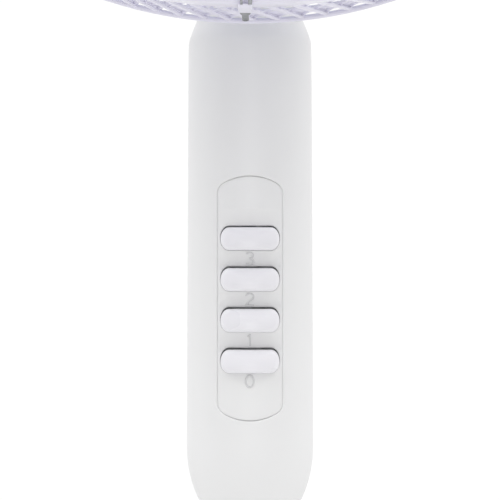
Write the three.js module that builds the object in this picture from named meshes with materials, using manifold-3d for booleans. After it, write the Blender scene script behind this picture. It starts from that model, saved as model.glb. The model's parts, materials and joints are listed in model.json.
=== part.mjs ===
// A 16 inch pedestal fan: round base, telescopic pole, oval control column with four push keys,
// tilting and oscillating head, wire guards.
// Millimetres, +Z up, front towards -Y. The origin is on the floor, under the pole's axis.
import * as THREE from "three";
import { mergeVertices } from "three/addons/utils/BufferGeometryUtils.js";
import Module from "manifold-3d";

const wasm = await Module();
wasm.setup();

// ---------------------------------------------------------------- driving dimensions
const GAP = 0.3; // left between pieces that touch

const BASE_R = 200;
const FOOT_H = 8;
const FOOT_CIRCLE_R = 172;
const WEIGHT_T = 4;

const OUTER_TUBE = { r: 14.5, bore: 13, top: 329.5 };
const INNER_TUBE = { r: 11, bore: 9.8, length: 366, inColumn: 58 };

const COLUMN_Z = 360; // virtual tip of the column's rounded lower end
const COLUMN = {
  depthRatio: 0.9, // the oval section's depth over its width
  wall: 2.5,
  lowHalf: 31, // half width where the lower end starts to round off
  highHalf: 30.2, // half width under the shoulder
  neckHalf: 17.6,
  endRise: 45, // height of the rounded lower end
  shoulderZ: 242.5,
  neckZ: 273,
  topZ: 292,
};
const PANEL = { half: 15.5, low: 59.2, high: 175.8, rise: 8, inset: 0.5 };
const KEY = { flat: 10, endX: 4.2, endZ: 5.2, sink: 0.4, proud: 5, pitch: 19.5, highest: 146.3 };
const KEY_HOLE = { flat: 10, endX: 4.6, endZ: 6.1 };
const KEY_NAMES = ["key_speed_3", "key_speed_2", "key_speed_1", "key_off"];

const TILT_Z = 690;
const HEAD_Z = 821;
const GUARD_R = 215; // outer radius of the wire side wall
const SPOKES = 16;
const WIRE = 3; // across the flats of a CAD guard wire

const CRANK = { x: 15, y: 54, throw: 13 };
const LINK_EYE = { x: 20.5, y: 0 };

// ---------------------------------------------------------------- materials
const material = (color, roughness, metalness) =>
  new THREE.MeshStandardMaterial({ color, roughness, metalness });
const WHITE = material(0xe9e9ea, 0.45, 0);
const KEY_WHITE = material(0xeeeef2, 0.35, 0);
const PAINTED_WIRE = material(0xe4e4ee, 0.35, 0.2);
const CHROME = material(0xd5d7da, 0.15, 1);
const STEEL = material(0x9a9c9e, 0.35, 0.9);
const CASTING = material(0xa9abad, 0.5, 0.8);
const COPPER = material(0xa8562a, 0.4, 0.8);
const DARK = material(0x2b2c2e, 0.6, 0);
const RUBBER = material(0x1d1d1e, 0.85, 0);
const NYLON = material(0xdadad2, 0.5, 0);
const BLADE = material(0xdfe3ea, 0.25, 0);

// ---------------------------------------------------------------- solids
// A closed geometry as a manifold-3d solid that faces outwards.
function solid(geometry) {
  const bare = geometry.index ? geometry.toNonIndexed() : geometry.clone();
  const merged = mergeVertices(
    new THREE.BufferGeometry().setAttribute("position", bare.getAttribute("position")),
    1e-3,
  );
  const corners = merged.index.array;
  const kept = [];
  for (let i = 0; i < corners.length; i += 3) {
    const [a, b, c] = [corners[i], corners[i + 1], corners[i + 2]];
    if (a !== b && b !== c && c !== a) kept.push(a, b, c);
  }
  const make = (triVerts) =>
    new wasm.Manifold(
      new wasm.Mesh({
        numProp: 3,
        vertProperties: Float32Array.from(merged.attributes.position.array),
        triVerts: Uint32Array.from(triVerts),
      }),
    );
  const made = make(kept);
  return made.volume() > 0 ? made : make(kept.slice().reverse());
}

// The solid as a three.js geometry.
function geometryOf(shape) {
  const mesh = shape.getMesh();
  return new THREE.BufferGeometry()
    .setAttribute("position", new THREE.BufferAttribute(mesh.vertProperties, 3))
    .setIndex(new THREE.BufferAttribute(mesh.triVerts, 1));
}

// A named mesh of a solid, added to a group.
function addPiece(group, name, shape, finish) {
  const mesh = new THREE.Mesh(geometryOf(shape), finish);
  mesh.name = name;
  group.add(mesh);
  return mesh;
}

const join = (shapes) => shapes.reduce((whole, shape) => whole.add(shape));
const cutAll = (shape, tools) => tools.reduce((left, tool) => left.subtract(tool), shape);

// A profile of [radius, height] turned about Z. It is closed on itself unless it ends on the axis.
function turned(profile, segments = 24) {
  return solid(turnedGeometry(profile, segments).rotateX(Math.PI / 2));
}

// The same about Y, with [radius, y].
function turnedY(profile, segments = 24) {
  return solid(turnedGeometry(profile, segments));
}

function turnedGeometry(profile, segments) {
  const points = profile.map(([r, h]) => new THREE.Vector2(r, h));
  const endsOnAxis = points[0].x === 0 && points.at(-1).x === 0;
  if (!endsOnAxis) points.push(points[0].clone());
  return new THREE.LatheGeometry(points, segments);
}

// A box between two limits on each axis.
function block([x0, x1], [y0, y1], [z0, z1]) {
  return solid(
    new THREE.BoxGeometry(x1 - x0, y1 - y0, z1 - z0).translate(
      (x0 + x1) / 2,
      (y0 + y1) / 2,
      (z0 + z1) / 2,
    ),
  );
}

// A round rod between two points.
function rod(radius, from, to, segments = 12) {
  const [a, b] = [new THREE.Vector3(...from), new THREE.Vector3(...to)];
  const along = b.clone().sub(a);
  const turn = new THREE.Quaternion().setFromUnitVectors(
    new THREE.Vector3(0, 1, 0),
    along.clone().normalize(),
  );
  return solid(
    new THREE.CylinderGeometry(radius, radius, along.length(), segments)
      .applyQuaternion(turn)
      .translate(...a.add(b).multiplyScalar(0.5).toArray()),
  );
}

const rodX = (r, x0, x1, y, z, segments) => rod(r, [x0, y, z], [x1, y, z], segments);
const rodY = (r, y0, y1, x, z, segments) => rod(r, [x, y0, z], [x, y1, z], segments);
const rodZ = (r, z0, z1, x, y, segments) => rod(r, [x, y, z0], [x, y, z1], segments);

// An outline in XZ carried along Y.
function prismY(shape, [y0, y1], curveSegments = 6) {
  return solid(
    new THREE.ExtrudeGeometry(shape, { depth: y1 - y0, bevelEnabled: false, curveSegments })
      .rotateX(Math.PI / 2)
      .translate(0, y1, 0),
  );
}

// A key's outline: straight top and bottom, elliptical ends.
function keyOutline({ flat, endX, endZ }, z) {
  const outline = new THREE.Shape();
  outline.moveTo(-flat, z - endZ);
  outline.lineTo(flat, z - endZ);
  outline.absellipse(flat, z, endX, endZ, -Math.PI / 2, Math.PI / 2, false);
  outline.lineTo(-flat, z + endZ);
  outline.absellipse(-flat, z, endX, endZ, Math.PI / 2, (3 * Math.PI) / 2, false);
  return outline;
}

// The switch panel's outline: straight sides and ends that are shallow arcs.
function panelOutline(grow) {
  const half = PANEL.half + grow;
  const [low, high] = [PANEL.low - grow, PANEL.high + grow];
  const r = (half * half + PANEL.rise * PANEL.rise) / (2 * PANEL.rise);
  const open = Math.asin(half / r);
  const outline = new THREE.Shape();
  outline.moveTo(half, low + PANEL.rise);
  outline.lineTo(half, high - PANEL.rise);
  outline.absarc(0, high - r, r, Math.PI / 2 - open, Math.PI / 2 + open, false);
  outline.lineTo(-half, low + PANEL.rise);
  outline.absarc(0, low + r, r, (3 * Math.PI) / 2 - open, (3 * Math.PI) / 2 + open, false);
  return outline;
}

// A plate of even thickness whose middle surface is point(u, v), with u and v from 0 to 1.
function curvedPlate(point, thickness, stepsU, stepsV) {
  const rows = [];
  for (const side of [-0.5, 0.5])
    for (let i = 0; i <= stepsU; i++)
      for (let j = 0; j <= stepsV; j++) {
        const [u, v] = [i / stepsU, j / stepsV];
        const at = point(u, v);
        const across = point(u + 1e-3, v).sub(point(u - 1e-3, v));
        const along = point(u, v + 1e-3).sub(point(u, v - 1e-3));
        rows.push(at.addScaledVector(across.cross(along).normalize(), side * thickness));
      }
  const index = [];
  const back = (stepsU + 1) * (stepsV + 1);
  const id = (i, j) => i * (stepsV + 1) + j;
  const quad = (a, b, c, d) => index.push(a, b, c, a, c, d);
  for (let i = 0; i < stepsU; i++)
    for (let j = 0; j < stepsV; j++) {
      quad(id(i, j), id(i, j + 1), id(i + 1, j + 1), id(i + 1, j));
      quad(
        back + id(i, j),
        back + id(i + 1, j),
        back + id(i + 1, j + 1),
        back + id(i, j + 1),
      );
    }
  const rim = [];
  for (let j = 0; j < stepsV; j++) rim.push(id(0, j));
  for (let i = 0; i < stepsU; i++) rim.push(id(i, stepsV));
  for (let j = stepsV; j > 0; j--) rim.push(id(stepsU, j));
  for (let i = stepsU; i > 0; i--) rim.push(id(i, 0));
  rim.forEach((a, n) => {
    const b = rim[(n + 1) % rim.length];
    quad(b, a, back + a, back + b);
  });
  return solid(new THREE.BufferGeometry().setFromPoints(rows).setIndex(index));
}

// A guard wire through [radius, y] points, of square section, turned about the fan's axis.
function wire(points, turn) {
  const line = points.map(([r, y]) => new THREE.Vector2(r, y));
  const edge = (side) =>
    line.map((point, n) => {
      const before = line[Math.max(n - 1, 0)];
      const after = line[Math.min(n + 1, line.length - 1)];
      const along = after.clone().sub(before).normalize();
      return new THREE.Vector2(-along.y, along.x).multiplyScalar((side * WIRE) / 2).add(point);
    });
  const outline = new THREE.Shape([...edge(1), ...edge(-1).reverse()]);
  return solid(
    new THREE.ExtrudeGeometry(outline, { depth: WIRE, bevelEnabled: false })
      .translate(0, 0, -WIRE / 2)
      .rotateY(-turn),
  );
}

// A wire ring about the fan's axis.
function wireRing(radius, y, segments = 32) {
  const half = WIRE / 2;
  return turnedY(
    [
      [radius - half, y - half],
      [radius + half, y - half],
      [radius + half, y + half],
      [radius - half, y + half],
    ],
    segments,
  );
}

// The same wire repeated round the fan's axis.
function spokes(points) {
  const made = [];
  for (let n = 0; n < SPOKES; n++) made.push(wire(points, ((n + 0.5) / SPOKES) * 2 * Math.PI));
  return made;
}

// ---------------------------------------------------------------- base and pole
function buildBase() {
  const base = new THREE.Group();
  const coverProfile = [
    [15, 72],
    [19, 72],
    [19, 64],
    [24, 50],
    [38, 40],
    [150, 26],
    [190, 19],
    [BASE_R, 11],
    [BASE_R, 5],
    [197, 5],
    [197, 9],
    [188, 16],
    [149, 23],
    [35, 37],
    [19, 48],
    [15, 60],
  ];
  addPiece(base, "base_cover", turned(coverProfile, 32), WHITE);

  const weightZ = FOOT_H + GAP;
  const weightProfile = [
    [5.4, weightZ],
    [186, weightZ],
    [186, weightZ + WEIGHT_T],
    [5.4, weightZ + WEIGHT_T],
  ];
  addPiece(base, "base_weight", turned(weightProfile, 32), DARK);

  for (let n = 0; n < 4; n++) {
    const turn = Math.PI / 4 + (n * Math.PI) / 2;
    const foot = turned(
      [
        [0, 0],
        [10, 0],
        [12, 2],
        [12, FOOT_H],
        [0, FOOT_H],
      ],
      14,
    );
    const mesh = addPiece(base, `foot_${n + 1}`, foot, RUBBER);
    mesh.position.set(FOOT_CIRCLE_R * Math.cos(turn), FOOT_CIRCLE_R * Math.sin(turn), 0);
  }

  const flangeZ = weightZ + WEIGHT_T + GAP;
  const flangeProfile = [
    [5.4, flangeZ],
    [45, flangeZ],
    [45, flangeZ + 3.4],
    [12.4, flangeZ + 3.4],
    [12.4, 46],
    [5.4, 46],
  ];
  addPiece(base, "pole_flange", turned(flangeProfile, 24), STEEL);
  const boltProfile = [
    [0, 1.5],
    [8.5, 1.5],
    [8.5, 7.6],
    [4.8, 7.6],
    [4.8, 40],
    [0, 40],
  ];
  addPiece(base, "pole_bolt", turned(boltProfile, 6), STEEL);

  const outerTube = tube(OUTER_TUBE.r, OUTER_TUBE.bore, flangeZ + 3.7, OUTER_TUBE.top);
  addPiece(base, "outer_tube", outerTube, WHITE);
  const seatProfile = [
    [15, 288],
    [19.5, 288],
    [20.5, 292],
    [20.5, 311],
    [17.5, 311],
    [17.5, 328],
    [15, 328],
  ];
  addPiece(base, "collar_seat", turned(seatProfile, 20), WHITE);
  const bush = tube(14.2, INNER_TUBE.r + GAP, OUTER_TUBE.top + GAP, 344);
  addPiece(base, "split_bush", bush, NYLON);
  const nutProfile = [
    [18, 312],
    [22, 312],
    [22.5, 320],
    [21.5, 338],
    [17, 350],
    [11.6, 350],
    [11.6, 345],
    [14.8, 345],
    [14.8, 331],
    [18, 330],
  ];
  addPiece(base, "collar_nut", turned(nutProfile, 20), WHITE);
  return base;
}

// A straight tube about Z.
function tube(outer, bore, z0, z1, segments = 20) {
  return turned(
    [
      [bore, z0],
      [outer, z0],
      [outer, z1],
      [bore, z1],
    ],
    segments,
  );
}

// ---------------------------------------------------------------- control column
// Half width of the column at height z, inset from its outer face.
function columnHalf(z) {
  const { lowHalf, highHalf, neckHalf, endRise, shoulderZ, neckZ } = COLUMN;
  if (z < endRise) return lowHalf * Math.sqrt(1 - (1 - z / endRise) ** 2);
  if (z < shoulderZ)
    return lowHalf + ((highHalf - lowHalf) * (z - endRise)) / (shoulderZ - endRise);
  if (z < neckZ) return highHalf + ((neckHalf - highHalf) * (z - shoulderZ)) / (neckZ - shoulderZ);
  return neckHalf;
}

// The column as a filled solid, shrunk by inset, between two heights.
function columnSolid(inset, low, high) {
  const levels = [low, 9, 16, 28, COLUMN.endRise, COLUMN.shoulderZ, COLUMN.neckZ];
  const inside = levels.filter((z, n) => n === 0 || (z > low && z < high));
  const rings = [...inside, high].map((z) => [columnHalf(z) - inset, z]);
  const profile = [[0, low], ...rings, [0, high]];
  const geometry = turnedGeometry(profile, 28)
    .rotateX(Math.PI / 2)
    .scale(1, COLUMN.depthRatio, 1);
  return solid(geometry);
}

const COLUMN_SCREWS = [
  [-20, 62],
  [20, 62],
  [-20, 205],
  [20, 205],
];

function buildColumn() {
  const column = new THREE.Group();
  column.position.z = COLUMN_Z;
  const floorZ = 6; // the flat lower face
  const { wall, topZ } = COLUMN;
  const shell = columnSolid(0, floorZ, topZ)
    .subtract(columnSolid(wall, floorZ + 3, topZ - 0.01).add(columnSolid(wall, 280, topZ + 1)))
    .subtract(rodZ(INNER_TUBE.r + 0.5, 0, 12, 0, 0, 20));
  const reach = 60;
  const frontHalf = block([-reach, reach], [-reach, -GAP / 2], [0, 400]);
  const rearHalf = block([-reach, reach], [GAP / 2, reach], [0, 400]);

  const holes = KEY_NAMES.map((_, n) =>
    prismY(keyOutline(KEY_HOLE, KEY.highest - n * KEY.pitch), [-40, -15], 5),
  );
  const panelZone = (grow) => prismY(panelOutline(grow), [-40, -12], 6);
  const front = cutAll(
    join([
      shell.intersect(frontHalf),
      ...COLUMN_SCREWS.map(([x, z]) => rodY(4, -19.5, -GAP, x, z)),
    ]),
    [panelZone(GAP), ...COLUMN_SCREWS.map(([x, z]) => rodY(1.9, -14, 1, x, z, 8))],
  );
  addPiece(column, "column_front", front, WHITE);

  const panel = cutAll(
    columnSolid(PANEL.inset, floorZ, topZ)
      .subtract(columnSolid(wall + PANEL.inset, floorZ + 3, topZ - 1))
      .intersect(panelZone(0)),
    holes,
  );
  addPiece(column, "switch_panel", panel, WHITE);

  const screwSeats = COLUMN_SCREWS.map(([x, z]) => rodY(5.5, GAP, 19.5, x, z));
  const rear = cutAll(join([shell.intersect(rearHalf), ...screwSeats]), [
    ...COLUMN_SCREWS.flatMap(([x, z]) => [
      rodY(2, -1, 40, x, z, 8),
      rodY(4, 6, 40, x, z, 10),
    ]),
    rodY(3.1, 15, 40, 0, 32),
    rodY(5.3, 15, 40, 0, 66),
  ]);
  addPiece(column, "column_rear", rear, WHITE);
  COLUMN_SCREWS.forEach(([x, z], n) => {
    const screw = rodY(1.5, -12, 6.4, x, z, 8).add(rodY(3.4, 6.3, 8.8, x, z, 10));
    addPiece(column, `column_screw_${n + 1}`, screw, STEEL);
  });

  addPiece(
    column,
    "inner_tube",
    tube(INNER_TUBE.r, INNER_TUBE.bore, INNER_TUBE.inColumn - INNER_TUBE.length, INNER_TUBE.inColumn),
    CHROME,
  );
  const socket = tube(15, INNER_TUBE.r + GAP, 10.8, 56).subtract(rodY(2.9, 5, 20, 0, 32));
  addPiece(column, "column_socket", socket, NYLON);
  const poleScrew = rodY(2.6, 11.4, 29, 0, 32).add(rodY(8.5, 28.6, 38, 0, 32, 10));
  addPiece(column, "pole_screw", poleScrew, WHITE);
  const gland = cutAll(
    rodY(5, 21, 33, 0, 66).add(rodY(7.5, 28.7, 30.7, 0, 66, 16)),
    [rodY(3.2, 0, 50, 0, 66)],
  );
  addPiece(column, "cord_gland", gland, DARK);

  addSwitch(column);
  addFork(column);
  return column;
}

// The four-key switch: its case, its fixing plate and the keys.
function addSwitch(column) {
  const heights = KEY_NAMES.map((_, n) => KEY.highest - n * KEY.pitch);
  const stem = { halfX: 3, halfZ: 2 };
  const slots = (grow, from, to) =>
    heights.map((z) =>
      block(
        [-stem.halfX - grow, stem.halfX + grow],
        [from, to],
        [z - stem.halfZ - grow, z + stem.halfZ + grow],
      ),
    );
  const plate = cutAll(block([-15, 15], [-11.6, -10.4], [76, 158]), slots(0.5, -20, 0));
  addPiece(column, "switch_bracket", plate, STEEL);
  const body = cutAll(block([-13, 13], [-10, 12], [78, 156]), slots(0.5, -20, 3));
  addPiece(column, "switch_body", body, DARK);

  const faceY = -COLUMN.highHalf * COLUMN.depthRatio;
  KEY_NAMES.forEach((name, n) => {
    const z = heights[n];
    const capZone = prismY(keyOutline(KEY, z - KEY.sink), [-40, faceY + 6], 5);
    const crown = columnSolid(-KEY.proud, 40, 230);
    const cap = capZone.intersect(crown);
    const post = block(
      [-stem.halfX, stem.halfX],
      [faceY + 4, -5],
      [z - stem.halfZ, z + stem.halfZ],
    );
    addPiece(column, name, cap.add(post), KEY_WHITE);
  });
}

// The fork in the column's neck that the head tilts in, and its bolt and knob.
function addFork(column) {
  const pivotZ = TILT_Z - COLUMN_Z;
  const { topZ, neckHalf, depthRatio } = COLUMN;
  const collar = solid(
    turnedGeometry(
      [
        [0, topZ + GAP],
        [neckHalf, topZ + GAP],
        [neckHalf, topZ + 8],
        [0, topZ + 8],
      ],
      24,
    )
      .rotateX(Math.PI / 2)
      .scale(1, depthRatio, 1),
  );
  const ear = (side) =>
    block([12.4, 17], [-11, 11], [topZ + 7, pivotZ])
      .add(rodX(11, 12.4, 17, 0, pivotZ, 20))
      .mirror([side < 0 ? 1 : 0, side < 0 ? 0 : 1, 0]);
  const stem = block([-9, 9], [-8, 8], [262, topZ + 1]);
  const fork = join([collar, stem, ear(1), ear(-1)]).subtract(rodX(3.4, -20, 20, 0, pivotZ));
  addPiece(column, "tilt_fork", fork, WHITE);
  const bolt = rodX(3, -17.6, 30, 0, pivotZ).add(rodX(6.4, -22, -17.5, 0, pivotZ, 6));
  addPiece(column, "tilt_bolt", bolt, STEEL);
  const knob = rodX(12.5, 17.6, 33, 0, pivotZ, 10).subtract(rodX(3.3, 10, 31, 0, pivotZ));
  addPiece(column, "tilt_knob", knob, WHITE);
}

// ---------------------------------------------------------------- neck, between tilt and swing
function buildNeck() {
  const neck = new THREE.Group();
  neck.position.z = TILT_Z;
  const topZ = HEAD_Z - TILT_Z - 90;
  const socket = turned(
    [
      [0, 13],
      [13, 13],
      [17, 19],
      [17, 34],
      [25, topZ - 4],
      [25, topZ],
      [0, topZ],
    ],
    24,
  );
  const body = join([rodX(11, -12, 12, 0, 0, 20), block([-11, 11], [-10, 10], [0, 16]), socket]);
  const piece = cutAll(body, [rodX(3.4, -20, 20, 0, 0), rodZ(9, 19, 60, 0, 0, 20)]).add(
    rodZ(2.4, topZ - 1, topZ + 4.6, LINK_EYE.x, LINK_EYE.y, 10),
  );
  addPiece(neck, "neck_piece", piece, WHITE);
  addPiece(neck, "swivel_bush", tube(8.7, 6.3, 19.3, topZ - 0.3, 16), NYLON);
  return neck;
}

// ---------------------------------------------------------------- head
function buildHead() {
  const head = new THREE.Group();
  head.position.z = HEAD_Z;
  addMotor(head);
  addOscillator(head);
  addCovers(head);
  addGuards(head);
  addBlade(head);
  return head;
}

function addMotor(head) {
  const bell = (front) => {
    const s = front ? -1 : 1;
    const y = (v) => 4 + s * v; // distance from the plane between the two bells
    const profile = [
      [8.3, y(38)],
      [40, y(38)],
      [45.4, y(30)],
      [45.4, y(0.15)],
      [42.4, y(0.15)],
      [42.4, y(29)],
      [38.5, y(35)],
      [12, y(35)],
      [12, y(29)],
      [8.3, y(29)],
    ];
    return turnedY(profile, 28);
  };
  addPiece(head, "motor_front_bell", bell(true), CASTING);
  addPiece(head, "motor_rear_bell", bell(false), CASTING);
  const ringY = (bore, outer, y0, y1, segments) =>
    turnedY(
      [
        [bore, y0],
        [outer, y0],
        [outer, y1],
        [bore, y1],
      ],
      segments,
    );
  addPiece(head, "bearing_front", ringY(4.15, 8, -34, -25.5, 16), COPPER);
  addPiece(head, "bearing_rear", ringY(4.15, 8, 33.5, 42, 16), COPPER);
  addPiece(head, "stator_core", ringY(22, 41.6, -8, 16, 24), STEEL);
  addPiece(head, "winding_front", ringY(24, 37, -21, -8.3, 20), COPPER);
  addPiece(head, "winding_rear", ringY(24, 37, 16.3, 29, 20), COPPER);
  addPiece(head, "rotor_core", ringY(4.4, 21.4, -8, 16, 20), STEEL);
  addPiece(head, "rotor_shaft", rodY(4, -128, 60, 0, 0, 16), CHROME);
}

function addOscillator(head) {
  const { x, y } = CRANK;
  const gearbox = cutAll(
    block([-12, 34], [43, 76], [-22, 20]).add(rodZ(8, -30, -21, x, y, 14)),
    [
      rodY(4.6, 40, 64, 0, 0),
      rodZ(3.9, -40, -14, x, y),
      rodZ(2.9, 8, 30, x, y, 10),
    ],
  );
  addPiece(head, "gearbox_case", gearbox, CASTING);
  addPiece(head, "run_capacitor", block([-36, -13], [46, 74], [-14, 14]), DARK);

  const disc = { top: -79, bottom: -84.5 };
  const [linkBottom, linkTop] = [-89.6, -87];
  const crank = join([
    rodZ(3.5, disc.top - 1, -15, x, y, 12),
    rodZ(17.5, disc.bottom, disc.top, x, y, 20),
    rodZ(2.4, linkTop + GAP, disc.bottom + 1, x + CRANK.throw, y, 10),
  ]);
  addPiece(head, "crank", crank, NYLON);

  const [a, b] = [
    new THREE.Vector2(x + CRANK.throw, y),
    new THREE.Vector2(LINK_EYE.x, LINK_EYE.y),
  ];
  const reach = b.distanceTo(a);
  const bar = new THREE.Group();
  bar.position.set(a.x, a.y, 0);
  bar.rotation.z = b.clone().sub(a).angle();
  const link = cutAll(
    join([
      block([0, reach], [-3.5, 3.5], [linkBottom, linkTop]),
      rodZ(5.5, linkBottom, linkTop, 0, 0, 16),
      rodZ(5.5, linkBottom, linkTop, reach, 0, 16),
    ]),
    [rodZ(2.8, -95, -80, 0, 0, 10), rodZ(2.8, -95, -80, reach, 0, 10)],
  );
  addPiece(bar, "crank_link", link, STEEL);
  head.add(bar);

  const pull = join([
    rodZ(2.5, 9, 66, x, y, 10),
    turned(
      [
        [0, 64.5],
        [5, 64.5],
        [5, 69],
        [8.5, 71],
        [8.5, 78],
        [6.5, 80],
        [0, 80],
      ],
      16,
    ).translate([x, y, 0]),
  ]);
  addPiece(head, "pull_knob", pull, WHITE);

  const bracket = join([
    block([-12, 12], [-12, 20], [-84, -76]),
    block([-12, 12], [8, 20], [-77, -38]),
  ]);
  const bracketCut = cutAll(bracket, [rodZ(6.3, -90, -70, 0, 0, 16), rodY(45.8, -60, 60, 0, 0, 28)]);
  addPiece(head, "motor_bracket", bracketCut, CASTING);
  const pin = turned(
    [
      [0, -110],
      [6, -110],
      [6, -89.6],
      [9, -89.6],
      [9, -84.3],
      [6, -84.3],
      [6, -71],
      [0, -71],
    ],
    16,
  );
  addPiece(head, "swivel_pin", pin, STEEL);
}

function addCovers(head) {
  const frontCover = turnedY(
    [
      [10, -60],
      [21.5, -60],
      [21.5, -44],
      [65, -44],
      [69, -40],
      [69, -18],
      [66.4, -18],
      [66.4, -39],
      [64, -41],
      [10, -41],
    ],
    32,
  );
  addPiece(head, "motor_cover_front", frontCover, WHITE);

  const outside = [
    [69, -17.7],
    [68.5, 12],
    [64.5, 45],
    [54, 77],
    [32, 100],
    [0, 106],
  ];
  const skin = (inset, first) =>
    turnedY(
      [[0, first], ...outside.map(([r, y], n) => [Math.max(r - inset, 0), n === 0 ? first : y - inset * (y / 106)])],
      28,
    );
  const bullet = skin(0, -17.7).subtract(skin(2.5, -18.7));
  const chin = rodZ(27, -84, -40, 0, 0, 28).subtract(rodY(66, -18, 60, 0, 0, 28));
  const vents = [-24, -12, 0, 12, 24].map((z) => block([-22, 22], [80, 120], [z - 1.6, z + 1.6]));
  const rearCover = cutAll(bullet.add(chin), [
    rodZ(24.5, -90, -40, 0, 0, 28),
    block([-80, 80], [-40, -17.7], [-90, -30]),
    rodZ(3.3, 40, 80, CRANK.x, CRANK.y, 10),
    rodZ(5, -80, -40, CRANK.x, CRANK.y, 12),
    ...vents,
  ]);
  addPiece(head, "motor_cover_rear", rearCover, WHITE);
}

const REAR_Y = -54; // corner between the rear guard's face and its side wall
const HUB_Y = [-120, -72]; // front and rear of the blade's hub
const BAND_Y = [-146.5, -132]; // front and rear edges of the rim band

function addGuards(head) {
  const side = GUARD_R - WIRE / 2;
  const plate = turnedY(
    [
      [22.3, -46.2],
      [54, -46.2],
      [54, -44.4],
      [22.3, -44.4],
    ],
    24,
  );
  const rearGuard = join([
    plate,
    wireRing(side, REAR_Y - 3),
    wireRing(side, BAND_Y[1] - 2),
    ...spokes([
      [50, -46.5],
      [205, -50],
      [side, REAR_Y - 3],
      [side, BAND_Y[1] - 3],
    ]),
  ]);
  addPiece(head, "rear_guard", rearGuard, PAINTED_WIRE);

  const rimY = BAND_Y[0] + 5.5;
  const frontGuard = join([
    wireRing(211.5, rimY),
    wireRing(130, rimY - 22.5),
    rodY(46, rimY - 29.5, rimY - 25.5, 0, 0, 16),
    ...spokes([
      [211.5, rimY],
      [203, rimY - 9],
      [130, rimY - 22.5],
      [44, rimY - 28],
    ]),
  ]);
  addPiece(head, "front_guard", frontGuard, PAINTED_WIRE);

  const band = turnedY(
    [
      [GUARD_R + 1, BAND_Y[1]],
      [GUARD_R + 2.4, BAND_Y[1]],
      [GUARD_R + 2.4, BAND_Y[0]],
      [210.4, BAND_Y[0]],
      [210.4, BAND_Y[0] + 1.4],
      [GUARD_R + 1, BAND_Y[0] + 1.4],
    ],
    40,
  );
  addPiece(head, "guard_band", band, PAINTED_WIRE);

  const nut = turnedY(
    [
      [22.3, -58],
      [34, -58],
      [36, -50],
      [36, -46.5],
      [22.3, -46.5],
    ],
    24,
  );
  addPiece(head, "guard_nut", nut, WHITE);

  const badge = turnedY(
    [
      [0, rimY - 36],
      [30, rimY - 35],
      [47, rimY - 32.5],
      [47, rimY - 30.8],
      [0, rimY - 30.8],
    ],
    24,
  );
  addPiece(head, "guard_badge", badge, WHITE);

  const under = -(GUARD_R + 2.4);
  const clipX = -2;
  const clipSide = [clipX - 2.75, clipX + 2.75];
  const clip = join([
    block(clipSide, [BAND_Y[0] - 2, -84], [under - 2, under - 0.5]),
    block(clipSide, [BAND_Y[0] - 2, BAND_Y[0] - 0.5], [under - 1, under + 9]),
  ]);
  addPiece(head, "guard_clip", clip, STEEL);
}

function addBlade(head) {
  const hub = turnedY(
    [
      [4.4, HUB_Y[0]],
      [30, HUB_Y[0]],
      [36, HUB_Y[0] + 6],
      [38, HUB_Y[1]],
      [35.5, HUB_Y[1]],
      [33.5, HUB_Y[0] + 8],
      [28, HUB_Y[0] + 4],
      [9, HUB_Y[0] + 4],
      [9, HUB_Y[0] + 30],
      [4.4, HUB_Y[0] + 30],
    ],
    24,
  );
  const bladeCount = 5;
  const blades = [];
  for (let n = 0; n < bladeCount; n++) {
    const start = (n / bladeCount) * 2 * Math.PI;
    const surface = (u, v) => {
      const r = 35 + 159 * u;
      const sweep = 0.35 * u * u;
      const spread = 0.86 + 0.1 * Math.sin(Math.PI * u);
      const turn = start + sweep + spread * (v - 0.5);
      const y = HUB_Y[0] + 21 + 44 * (v - 0.5) + 10 * v * (v - 1);
      return new THREE.Vector3(r * Math.sin(turn), y, r * Math.cos(turn));
    };
    blades.push(curvedPlate(surface, 2.4, 4, 3));
  }
  addPiece(head, "fan_blade", join([hub, ...blades]), BLADE);
  const cap = turnedY(
    [
      [0, HUB_Y[0] - 15],
      [9, HUB_Y[0] - 14],
      [15, HUB_Y[0] - 9],
      [16, HUB_Y[0] - 0.4],
      [4.4, HUB_Y[0] - 0.4],
      [4.4, HUB_Y[0] - 9],
      [0, HUB_Y[0] - 9],
    ],
    20,
  );
  addPiece(head, "blade_cap", cap, DARK);
}

// ---------------------------------------------------------------- the whole fan
const fan = new THREE.Group();
fan.add(buildBase(), buildColumn(), buildNeck(), buildHead());

export default fan;
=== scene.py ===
"""The visual model of a 16 inch pedestal fan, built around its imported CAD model."""

import json
import logging
import math
from dataclasses import dataclass
from enum import Enum
from typing import Any, Callable, Sequence

import bmesh
import bpy
import numpy as np
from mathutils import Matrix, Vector
from mathutils.geometry import delaunay_2d_cdt


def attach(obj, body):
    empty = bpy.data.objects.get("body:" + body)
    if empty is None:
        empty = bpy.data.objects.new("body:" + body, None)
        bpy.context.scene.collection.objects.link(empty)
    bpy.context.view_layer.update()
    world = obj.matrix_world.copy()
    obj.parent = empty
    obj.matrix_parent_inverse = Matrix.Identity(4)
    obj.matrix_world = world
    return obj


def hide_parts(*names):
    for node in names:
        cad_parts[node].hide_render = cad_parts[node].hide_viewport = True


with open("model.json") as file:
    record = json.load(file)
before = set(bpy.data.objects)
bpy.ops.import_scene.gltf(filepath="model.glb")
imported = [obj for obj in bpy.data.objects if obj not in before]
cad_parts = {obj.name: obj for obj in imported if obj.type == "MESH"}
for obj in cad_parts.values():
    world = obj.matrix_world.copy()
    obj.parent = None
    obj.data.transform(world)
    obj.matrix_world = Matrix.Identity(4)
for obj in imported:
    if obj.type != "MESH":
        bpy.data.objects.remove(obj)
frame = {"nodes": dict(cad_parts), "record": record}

Array = np.ndarray
MM = 0.001
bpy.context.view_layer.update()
LOG = logging.getLogger("pedestal_fan")

# Heights and places of the joints, in millimetres, as the frame has them.
TILT_Z = 690.0
HEAD_Z = 821.0
CRANK_X, CRANK_Y = 15.0, 54.0
AXLE = 0.02  # radius of a turned profile's ends, which close it on its axis


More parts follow.
